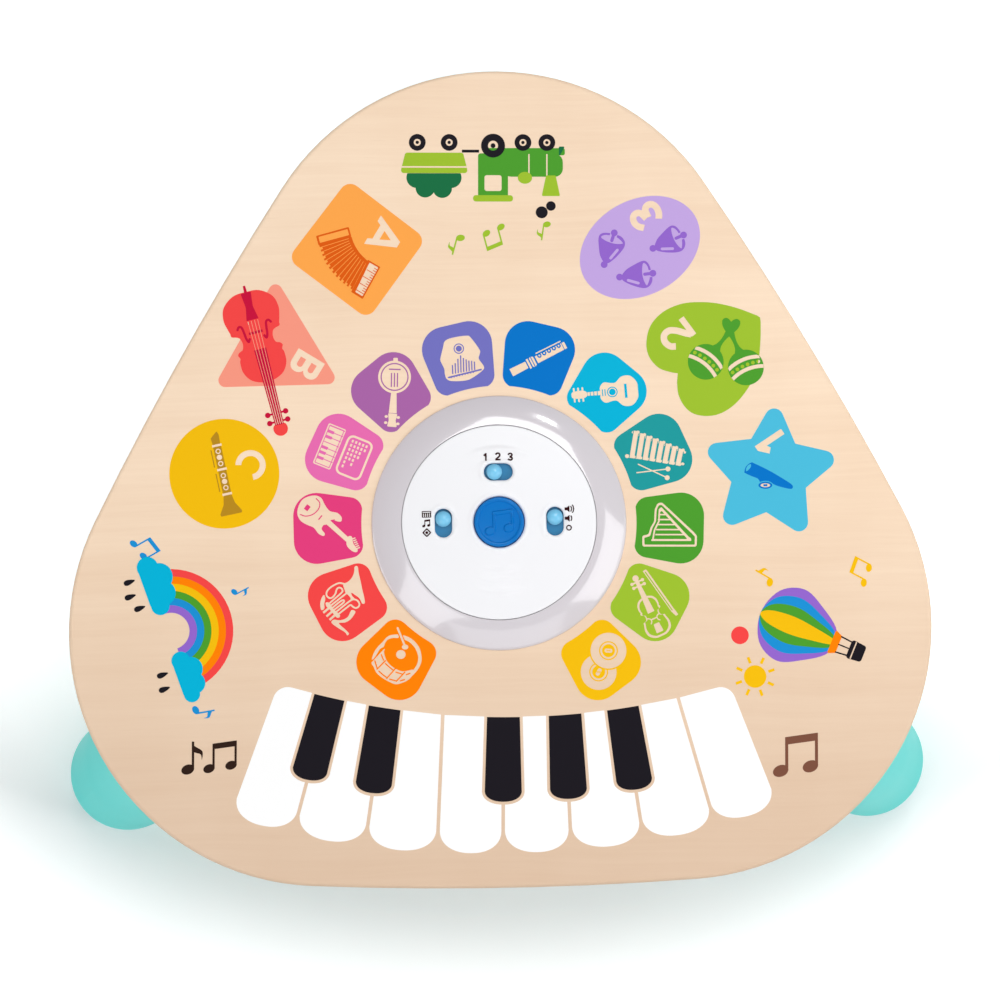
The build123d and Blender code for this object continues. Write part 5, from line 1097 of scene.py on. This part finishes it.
def train(part):
    """A toy train that rolls to the left: an engine with a tall funnel and one open wagon."""
    wheels = [(-31, 0, 4.2), (-19, 0, 4.2), (-4, 1.6, 6.0), (18, 0, 4.2), (34, 0, 4.2)]
    if part == "green":
        marks = on(panel(-24, 11.5, 30, 11.5, 4.0), panel(-4, 16.5, 15, 22, 1.2), panel(-20, 4.6, 40, 3.6, 1.0))
        return marks + off(panel(-4, 20.5, 8.6, 8.0, 1.2)) + off([bar(x, 5.8, x, 17.2, 0.7) for x in (-31, -22)])
    if part == "lime":
        marks = on(plate([(8.5, 15.5), (42.5, 15.5), (40, 5.2), (11, 5.2)], 1.4), panel(-4, 28.2, 20, 3.2, 1.4))
        marks += on(plate([(-35.4, 16.6), (-30.6, 16.6), (-28.4, 27.0), (-37.6, 27.0)], 0.6), oval(-20, 17.8, 3.6, 3.0))
        return marks + off(bar(9.2, 12.4, 41.8, 12.4, 0.8))
    if part == "pine":
        marks = on([oval(x, 17.8, 5.2) for x in (17.0, 25.6, 34.2)], oval(21.4, 23.2, 4.8), oval(30.0, 23.0, 4.8))
        return marks + off(panel(25, 10.5, 40, 10.2, 0.6)) + on(plate([(-40, 2.0), (-37, 7.6), (-37, 2.0)], 0.4))
    marks = on([oval(x, y, r) for x, y, r in wheels]) + off([oval(x, y, r * 0.42) for x, y, r in wheels])
    marks += on([oval(x, y, r * 0.2) for x, y, r in wheels], bar(3, 4.4, 11.6, 4.4, 1.4))
    return marks + on(oval(-33, 32.0, 2.4), oval(-28.4, 35.2, 3.0))


def rainbow(band):
    """One band of a rainbow about its foot line; band 0 is the outermost."""
    return on(hoop(0, 0, 29.0 - 3.6 * band, 3.7, 0, 180))


def cloud(x, y, size):
    """A puffy cloud: five discs over a flat foot."""
    puffs = [(-8.5, 0.5, 4.6), (-3.0, 3.8, 6.0), (4.2, 3.2, 5.4), (9.0, 0.2, 4.0)]
    marks = on([oval(px, py, r) for px, py, r in puffs], panel(0, -1.2, 20, 5.4, 2.6))
    return moved(marks, 0, x, y, size)


def drop(x, y):
    """A rain drop that falls down Y."""
    side = [(1.3, 0.4), (1.1, -1.6)]
    outline = [(0, 3.6), *side, (0, -2.2), *[(-dx, dy) for dx, dy in side[::-1]]]
    return on(blob([(x + dx, y + dy) for dx, dy in outline]))


def balloon(part):
    """A hot-air balloon: one of its stripes by number, each over the last, or its skirt or basket."""
    if isinstance(part, int):
        half = (19.5, 14.6, 9.6, 4.6)[part]
        side = [(half * share, y) for share, y in ((0.72, 25.6), (1.0, 14.0), (0.74, 2.0), (0.3, -9.0))]
        return on(blob([(0, 30.5), *side, *[(-x, y) for x, y in side[::-1]]]))
    if part == "skirt":
        return on(plate([(-6.4, -8.4), (6.4, -8.4), (4.6, -12.4), (-4.6, -12.4)], 0.6))
    ropes = [bar(-4.2, -12, -3.6, -18.5, 0.7), bar(4.2, -12, 3.6, -18.5, 0.7), bar(0, -12, 0, -18.5, 0.6)]
    basket = plate([(-5.0, -18.0), (5.0, -18.0), (4.2, -26.0), (-4.2, -26.0)], 1.4)
    return on(ropes, basket) + off(bar(-4.6, -20.4, 4.6, -20.4, 0.7))


def picture(name, layers, turn, x, y, size=1.0):
    """A picture in several inks, each a thin layer above the last; a later ink covers the earlier ones."""
    for k, (colour, marks) in enumerate(layers):
        printed(f"{name}_{colour}", moved(marks, turn, x, y, size), INK_OF[colour], 1 + 0.3 * k)


picture("train", [(part, train(part)) for part in ("green", "lime", "pine", "black")], 180, -7.0, 195.0)
tune = note(-22, 143, 165) + note(-2.0, 147, 195, pair=True) + note(22, 150, 172, 0.9)
printed("train_notes", tune, INK_OF["lime"])

bands = [(colour, rainbow(k)) for k, colour in enumerate(("red", "orange", "yellow", "green", "lake", "plum"))]
clouds = cloud(-24, -1, 1.15) + cloud(24, -1, 1.0)
rain = drop(-30, -12) + drop(-23, -14) + drop(-16, -11.5) + drop(19, -12) + drop(26, -13.5)
picture("rainbow", [*bands, ("cyan", clouds), ("black", rain)], -70, -163.0, -50.0)
tune = note(-176, -8, -60, pair=True) + note(-146, -90, -80) + note(-128, -30, -62, 0.8)
printed("rainbow_notes", tune, INK_OF["lake"])

stripes = [(colour, balloon(k)) for k, colour in enumerate(("plum", "lake", "green", "yellow"))]
picture("balloon", [*stripes, ("orange", balloon("skirt")), ("black", balloon("basket"))], 68, 158.0, -52.0, 0.98)
rays = [bar(*arc(0, 0, 7.0, a, a, 1)[0], *arc(0, 0, 10.2, a, a, 1)[0], 1.4) for a in range(0, 360, 45)]
printed("balloon_sun", moved(on(oval(0, 0, 5.6), rays), 20, 127.5, -72.5), INK_OF["yellow"])
printed("balloon_notes", note(132, -22, 60) + note(180, -20, 62, pair=True), INK_OF["yellow"])
printed("balloon_ball", on(oval(120, -52, 4.4)), INK_OF["red"])

printed("corner_note_left", note(-152, -112, 0, 1.5) + note(-138, -112, 0, 1.4, True), INK_OF["coffee"])
printed("corner_note_right", note(148, -111, 0, 1.9, True), INK_OF["brown"])


# ---------------------------------------------------------------- dial ring
def dial_ring():
    """The ring turned from its profile: a rounded lip, a swelling slope, a ledge for the cover and a skirt.

    The slope is the straight line from the lip to the inner edge, raised by a parabola that peaks halfway.
    """
    share = np.linspace(0, 1, 24)[:, None]
    slope = np.array([RING_RADIUS, RING_LIP]) * (1 - share) + np.array([RING_BORE, RING_RISE]) * share
    slope += 4 * RING_BULGE * share * (1 - share) * (0, 1)
    slope[-1] += (0.12, -0.04)
    lip = [(RING_RADIUS, 0.0), (RING_RADIUS, RING_LIP - 0.35), (RING_RADIUS - 0.1, RING_LIP - 0.1)]
    ledge = [(RING_BORE, RING_RISE - 0.16), (RING_BORE, LEDGE_TOP), (LEDGE_BORE, LEDGE_TOP), (LEDGE_BORE, LEDGE_FOOT)]
    skirt = [(SKIRT_BORE, LEDGE_FOOT), (SKIRT_BORE, SKIRT_FOOT), (SKIRT_RADIUS, SKIRT_FOOT), (SKIRT_RADIUS, 0.0)]
    profile = np.concatenate([lip, slope[1:], ledge, skirt])
    piece("dial_ring", *lathe(profile, 240, True), PEARL, "pearl_plastic", sharp=40, replaces=["bezel_ring"])


dial_ring()


# ---------------------------------------------------------------- dial cover
def slot_distance(x, y, name):
    """How far a point lies outside a slot's rim, from the middle line of its round-ended shape."""
    cx, cy, turn = SLOTS[name]
    c, s = cos(radians(turn)), sin(radians(turn))
    along, across = (x - cx) * c + (y - cy) * s, -(x - cx) * s + (y - cy) * c
    reach = (SLOT_LENGTH - SLOT_WIDTH) / 2
    return np.hypot(along - np.clip(along, -reach, reach), across) - SLOT_WIDTH / 2


def dome(x, y):
    """The cover's plain dome above the board, about the dial's centre."""
    return RING_RISE + COVER_DOME * (1 - (x**2 + y**2) / COVER_RADIUS**2)


RIPPLES = {90.0: (24.0, 29.7, 36.5), -90.0: (24.0, 29.5, 34.8)}  # the radii of the raised arcs on each side
RIPPLE_HEIGHT, RIPPLE_WIDTH, RIPPLE_SPAN = 0.85, 1.1, 32.0
SLOT_CLEAR, HOLE_CLEAR = 3.0, 4.0  # over which the ripples rise from the slot and from the button's hole
EDGE_DROP, EDGE_ROUND = 0.2, 0.35
LIP_RISE, LIP_OUT, LIP_WIDTH = 0.3, 1.5, 0.9
HOLE_DROP, HOLE_ROUND = 0.5, 0.8
COVER_FOOT = 2.25  # how wide the cover sits on the ring's ledge
COVER_GRID = 0.85


def cover_face(x, y):
    """The dome with a soft lip round each opening, rounded edges and fading ripples above and below."""
    reach = np.hypot(x, y)
    height = dome(x, y) - EDGE_DROP * np.clip(1 - (COVER_RADIUS - reach) / EDGE_ROUND, 0, 1) ** 2
    gaps = [slot_distance(x, y, name) for name in SLOTS] + [reach - BUTTON_HOLE]
    for gap in gaps:
        lip = LIP_RISE * np.exp(-(((gap - LIP_OUT) / LIP_WIDTH) ** 2))
        height += lip - HOLE_DROP * np.clip(1 - gap / HOLE_ROUND, 0, 1) ** 2
    clear = np.clip(gaps[0] / SLOT_CLEAR, 0, 1) * np.clip(gaps[3] / HOLE_CLEAR, 0, 1)
    for way, radii in RIPPLES.items():
        turn = (np.degrees(np.arctan2(y, x)) - way + 180) % 360 - 180
        fade = np.cos(np.clip(turn / RIPPLE_SPAN, -1, 1) * pi / 2) ** 2
        for radius in radii:
            height += RIPPLE_HEIGHT * fade * clear * np.exp(-(((reach - radius) / RIPPLE_WIDTH) ** 2))
    return height


def cover_underside(x, y):
    """The dome less the wall, with a level foot round its edge."""
    return np.where(np.hypot(x, y) > COVER_RADIUS - COVER_FOOT, LEDGE_TOP, dome(x, y) - COVER_WALL)


def stadium(name, grow=0.0):
    """A slot's outline, grown by a margin."""
    cx, cy, turn = SLOTS[name]
    run, width = SLOT_LENGTH - SLOT_WIDTH, SLOT_WIDTH + 2 * grow
    ends = [arc(run / 2, 0, width / 2, -90, 90, 25), arc(-run / 2, 0, width / 2, 90, 270, 25)]
    return spun(np.concatenate(ends), turn, cx, cy)


def rim(radius):
    """A circle about the dial's middle in fine steps."""
    return arc(0, 0, radius, 0, 360, 241)[:-1]


def dial_cover():
    """The cover: a flat layout of its openings, filled with a fine grid and lifted onto its face."""
    marks = on(rim(COVER_RADIUS)) + off(rim(BUTTON_HOLE), *[stadium(name) for name in SLOTS])
    near = (0.12, 0.28, 0.5, 0.8, 1.15, 1.5, 1.9, 2.4, 3.0)
    extra = [stadium(name, gap) for name in SLOTS for gap in near] + [rim(BUTTON_HOLE + gap) for gap in near]
    extra += [rim(COVER_RADIUS - gap) for gap in (0.08, 0.18, 0.35, 2.2, 2.3)]
    across = np.arange(-47, 47, COVER_GRID)
    x, y = (v.ravel() for v in np.meshgrid(across, across))
    gaps = np.min([slot_distance(x, y, name) for name in SLOTS] + [np.hypot(x, y) - BUTTON_HOLE], 0)
    extra.append(np.column_stack([x, y])[(gaps > 3.4) & (np.hypot(x, y) < COVER_RADIUS - 1.1)])
    flat, triangles = fill(marks, np.concatenate(extra))
    points, faces = slab(flat, triangles, cover_underside, cover_face)
    piece("dial_cover_face", points + (0, DIAL_Y, 0), faces, WHITE, "white_plastic", sharp=50, replaces=["dial_cover"])


dial_cover()


# ---------------------------------------------------------------- play button
BUTTON_TOP = RING_RISE + COVER_DOME + BUTTON_STAND
BUTTON_ROUND = 0.9
DISH_RADIUS, DISH_DROP = 10.0, 0.8
FLANGE_RADIUS, FLANGE_TOP, FLANGE_FOOT = 14.2, 6.0, 4.6
PLUNGER_RADIUS, PLUNGER_FOOT = 4.0, 0.6
DOME_FOOT, DOME_HEIGHT = -3.0, 3.6
NOTE_STROKES = (
    (-5.0, -4.6, -4.2, -4.3, 2.3), (4.3, -3.2, 5.1, -2.9, 2.3), (-2.6, -4.0, -2.6, 4.6, 0.9),
    (6.6, -2.6, 6.6, 5.6, 0.9), (-2.4, 4.3, 6.4, 5.4, 1.3),
)  # each from a point to a point, with its half width
NOTE_RISE, NOTE_SLOPE = 0.75, 0.7


def note_relief(x, y):
    """Height of the raised note: round-ended strokes with sloping sides, joined where they meet."""
    inside = []
    for x1, y1, x2, y2, half in NOTE_STROKES:
        along = np.array([x2 - x1, y2 - y1])
        share = np.clip(((x - x1) * along[0] + (y - y1) * along[1]) / (along @ along), 0, 1)
        inside.append(half - np.hypot(x - x1 - share * along[0], y - y1 - share * along[1]))
    return NOTE_RISE * np.clip(np.max(inside, 0) / NOTE_SLOPE, 0, 1)


def play_button():
    """The cap turned from its profile: a raised rim round a shallow dish, and a note raised on the dish."""
    reach = np.linspace(0, DISH_RADIUS, 70)
    dish = np.column_stack([reach, BUTTON_TOP - DISH_DROP - BUTTON_DISH * (1 - (reach / DISH_RADIUS) ** 2)])
    lip = [(DISH_RADIUS + 0.6, BUTTON_TOP - 0.1), (DISH_RADIUS + 0.8, BUTTON_TOP)]
    edge = arc(BUTTON_RADIUS - BUTTON_ROUND, BUTTON_TOP - BUTTON_ROUND, BUTTON_ROUND, 90, 0, 8)
    skirt = [
        (BUTTON_RADIUS, FLANGE_TOP), (FLANGE_RADIUS, FLANGE_TOP), (FLANGE_RADIUS, FLANGE_FOOT),
        (PLUNGER_RADIUS, FLANGE_FOOT), (PLUNGER_RADIUS, PLUNGER_FOOT), (0.0, PLUNGER_FOOT),
    ]
    points, faces = lathe(np.concatenate([dish, lip, edge, skirt])[::-1], 240)
    face = (points[:, 2] > BUTTON_TOP - 2) & (np.hypot(points[:, 0], points[:, 1] - DIAL_Y) < DISH_RADIUS)
    points[face, 2] += note_relief(points[face, 0], points[face, 1] - DIAL_Y)
    piece("play_button_cap", points, faces, BLUE, "blue_plastic", "play_button", 40, ["play_button"])


play_button()


def return_dome():
    """The silicone dome under the plunger, which the press flattens in the real toy: a cone shell turned from its
    profile, in its resting shape.
    """
    neck, waist, flange, wall, low, high = 4.0, 6.5, 8.5, 0.8, DOME_FOOT, DOME_FOOT + DOME_HEIGHT
    profile = [
        (0.0, high), (neck, high), (waist, low + wall), (flange, low + wall), (flange, low), (waist - wall, low),
        (neck - wall, high - wall), (0.0, high - wall),
    ]
    points, faces = lathe(profile[::-1], 64)
    shell = piece("return_dome_shell", points, faces, SILICONE, "silicone", sharp=30, replaces=["button_dome"])
    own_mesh(shell)


return_dome()


# ---------------------------------------------------------------- signs beside the switches
def on_cover(x, y):
    """The cover's face under a sign, in table millimetres."""
    return cover_face(x, y - DIAL_Y) - 0.01


def speaker_sign(waves):
    """A small loudspeaker with up to two sound waves."""
    marks = on(plate([(-2.0, -0.7), (-0.9, -0.7), (0.4, -1.7), (0.4, 1.7), (-0.9, 0.7), (-2.0, 0.7)], 0.1))
    return marks + on([hoop(-0.6, 0, 2.05 + 1.05 * k, 0.55, -40, 40) for k in range(waves)])


def dial_signs():
    """Numbers over the language slot, and plain signs beside the mode and volume slots."""
    keys = on(panel(0, 0, 4.6, 3.2, 0.2)) + off(panel(0, 1.0, 3.9, 0.5, 0.1))
    keys += off([bar(x, -1.3, x, 0.4, 0.45) for x in (-1.5, -0.5, 0.5, 1.5)])
    tune = on(oval(-1.25, -1.2, 0.8, 0.62, 20), oval(1.2, -0.9, 0.8, 0.62, 20), bar(-0.7, -1.1, -0.7, 1.5, 0.42))
    tune += on(bar(1.75, -0.8, 1.75, 1.8, 0.42), plate([(-0.9, 0.9), (1.96, 1.2), (1.96, 2.1), (-0.9, 1.8)], 0.05))
    diamond = on(panel(0, 0, 3.3, 3.3, 0.5, 45)) + off(panel(0, 0, 2.1, 2.1, 0.3, 45)) + on(oval(0, 0, 0.7))
    circle = on(oval(0, 0, 1.45)) + off(oval(0, 0, 0.85))
    signs = []
    for sign, x in (("1", -6.0), ("2", 0.0), ("3", 6.2)):
        signs += moved(letter(sign), 0, x, DIAL_Y + 32.5, 0.24)
    for sign, x, y in (
        (keys, -36.0, 4.5), (tune, -36.2, -0.1), (diamond, -36.0, -4.6),
        (speaker_sign(2), 34.6, 6.0), (speaker_sign(1), 34.6, 1.3), (circle, 34.6, -3.4),
    ):
        signs += moved(sign, 0, x, DIAL_Y + y)
    printed("dial_signs", signs, INK_OF["umber"], 3, "white_plastic", on_cover)


dial_signs()


# ---------------------------------------------------------------- floor, lamps and camera
SURROUND = 0.32
FLOOR_HALF = 6.0  # metres
# painted shadow: the floor's glow stays low near the table's front and sides, so the floor is darker there under any
# lamp
FLOOR_GLOW = (0.01, 0.42)  # close to the table, and what the open floor adds to it
SHADOW_ENDS = (0.315, 0.43)  # metres from the table's middle over which the floor opens
SHADOW_BACK = (-0.18, -0.03)  # metres along Y over which it opens behind the front edge
PLAIN_WHITE = (1.0, 1.0, 1.0, 1.0)
LAMP_AIM = Vector((0, 0, 0.3))
LAMPS = (
    ("back_softbox", (0.22, 0.66, 2.05), 0.9, 0.8, 10.7),
    ("left_window", (-0.685, -0.70, 1.45), 0.55, 1.15, 4.3),
    ("right_window", (0.92, -0.335, 1.16), 0.78, 0.75, 4.7),
    ("front_window", (0.1, -1.15, 1.25), 1.2, 0.8, 2.55),
    ("small_window", (0.39, 0.78, 1.12), 0.16, 0.12, 0.9),
    ("left_low_window", (-1.1, -0.35, 0.5), 0.6, 0.35, 1.3),
    ("right_low_window", (1.1, -0.25, 0.5), 0.6, 0.35, 0.9),
)  # name, place, width, height and watts
CAMERA_STAND, CAMERA_AIM = (-20.7, -77.2, 1700.0), (0.7, 15.4, 0.0)
LENS = 122.9


def seen(tree):
    """1 on the rays of the camera, of a gloss or through a clear piece, and 0 on soft light."""
    path = node(tree, "LightPath").outputs
    gloss = calc(tree, "MAXIMUM", path["Is Glossy Ray"], path["Is Transmission Ray"])
    return calc(tree, "MAXIMUM", path["Is Camera Ray"], gloss)


def floor():
    """A wide floor that looks white to the camera and keeps the table's shadow.

    Its glow is the low level, plus the rest where it lies away from the table or behind the front edge; held back near
    the table's front and sides, it leaves a painted shadow there over the lamps' real one.
    """
    corners = [(x * FLOOR_HALF, y * FLOOR_HALF, 0) for x, y in ((-1, -1), (1, -1), (1, 1), (-1, 1))]
    mesh = bpy.data.meshes.new("floor")
    mesh.from_pydata(corners, [], [(0, 1, 2, 3)])
    made = bpy.data.objects.new("floor", mesh)
    bpy.context.scene.collection.objects.link(made)
    material = bpy.data.materials.new("studio_floor")
    material.use_nodes = True
    tree = material.node_tree
    skin = tree.nodes["Principled BSDF"]
    skin.inputs["Roughness"].default_value = 0.9
    skin.inputs["Specular IOR Level"].default_value = 0.1
    skin.inputs["Emission Color"].default_value = PLAIN_WHITE
    spot = node(tree, "TexCoord").outputs["Object"]
    shade = mix(tree, noise(tree, spot, 60.0), paint(246, 247, 248), paint(250, 251, 252))
    tree.links.new(shade, skin.inputs["Base Color"])
    centre = (-MIDDLE_X * MM, -MIDDLE_Y * MM, 0.0)
    at = node(tree, "VectorMath", {0: spot, 1: centre}, operation="ADD").outputs[0]
    stretched = node(tree, "Mapping", {"Vector": at, "Scale": (1.0, 1.6, 0.0)}).outputs[0]
    reach = node(tree, "VectorMath", {0: stretched}, operation="LENGTH").outputs["Value"]
    along = node(tree, "SeparateXYZ", {0: at}).outputs["Y"]
    # painted shadow: the glow is held back where the floor is near the table and in front of it
    away, behind = ramp(tree, reach, *SHADOW_ENDS, "SMOOTHSTEP"), ramp(tree, along, *SHADOW_BACK, "SMOOTHSTEP")
    low, rest = FLOOR_GLOW
    glow = calc(tree, "ADD", calc(tree, "MULTIPLY", calc(tree, "MAXIMUM", away, behind), rest), low)
    tree.links.new(calc(tree, "MULTIPLY", seen(tree), glow), skin.inputs["Emission Strength"])
    below = node(tree, "NewGeometry").outputs["Backfacing"]
    clear = node(tree, "BsdfTransparent").outputs[0]
    either = node(tree, "MixShader", {0: below, 1: skin.outputs[0], 2: clear}).outputs[0]
    tree.links.new(either, tree.nodes["Material Output"].inputs["Surface"])
    mesh.materials.append(material)


def lamp(name, stand, width, height, power):
    """A soft white rectangular lamp turned to the table."""
    light = bpy.data.lights.new(name, "AREA")
    light.shape, light.size, light.size_y, light.energy = "RECTANGLE", width, height, power
    made = bpy.data.objects.new(name, light)
    bpy.context.scene.collection.objects.link(made)
    made.location = stand
    made.rotation_euler = (LAMP_AIM - Vector(stand)).to_track_quat("-Z", "Y").to_euler()


def world():
    """An even pale surround, white where the camera or a gloss sees it."""
    made = bpy.data.worlds.new("studio")
    bpy.context.scene.world = made
    made.use_nodes = True
    tree = made.node_tree
    back = tree.nodes["Background"]
    level = calc(tree, "ADD", calc(tree, "MULTIPLY", seen(tree), 1 - SURROUND), SURROUND)
    tree.links.new(level, back.inputs["Strength"])
    back.inputs["Color"].default_value = PLAIN_WHITE


def camera():
    """The camera 1.7 m over the board, a little to the front and left of its middle."""
    data = bpy.data.cameras.new("camera")
    data.lens, data.sensor_width = LENS, 36.0
    data.clip_start, data.clip_end = 0.1, 20.0
    made = bpy.data.objects.new("camera", data)
    bpy.context.scene.collection.objects.link(made)
    stand, aim = (Vector(p) for p in place([CAMERA_STAND, CAMERA_AIM]))
    forward = (aim - stand).normalized()
    right = forward.cross(Vector((0, 1, 0))).normalized()
    up = right.cross(forward)
    roll = radians(-PRINT_TURN)
    right, up = right * cos(roll) - up * sin(roll), up * cos(roll) + right * sin(roll)
    made.matrix_world = Matrix.Translation(stand) @ Matrix((right, up, -forward)).transposed().to_4x4()
    bpy.context.scene.camera = made


floor()
for settings in LAMPS:
    lamp(*settings)
world()
camera()
bpy.context.scene.view_settings.view_transform = "Standard"
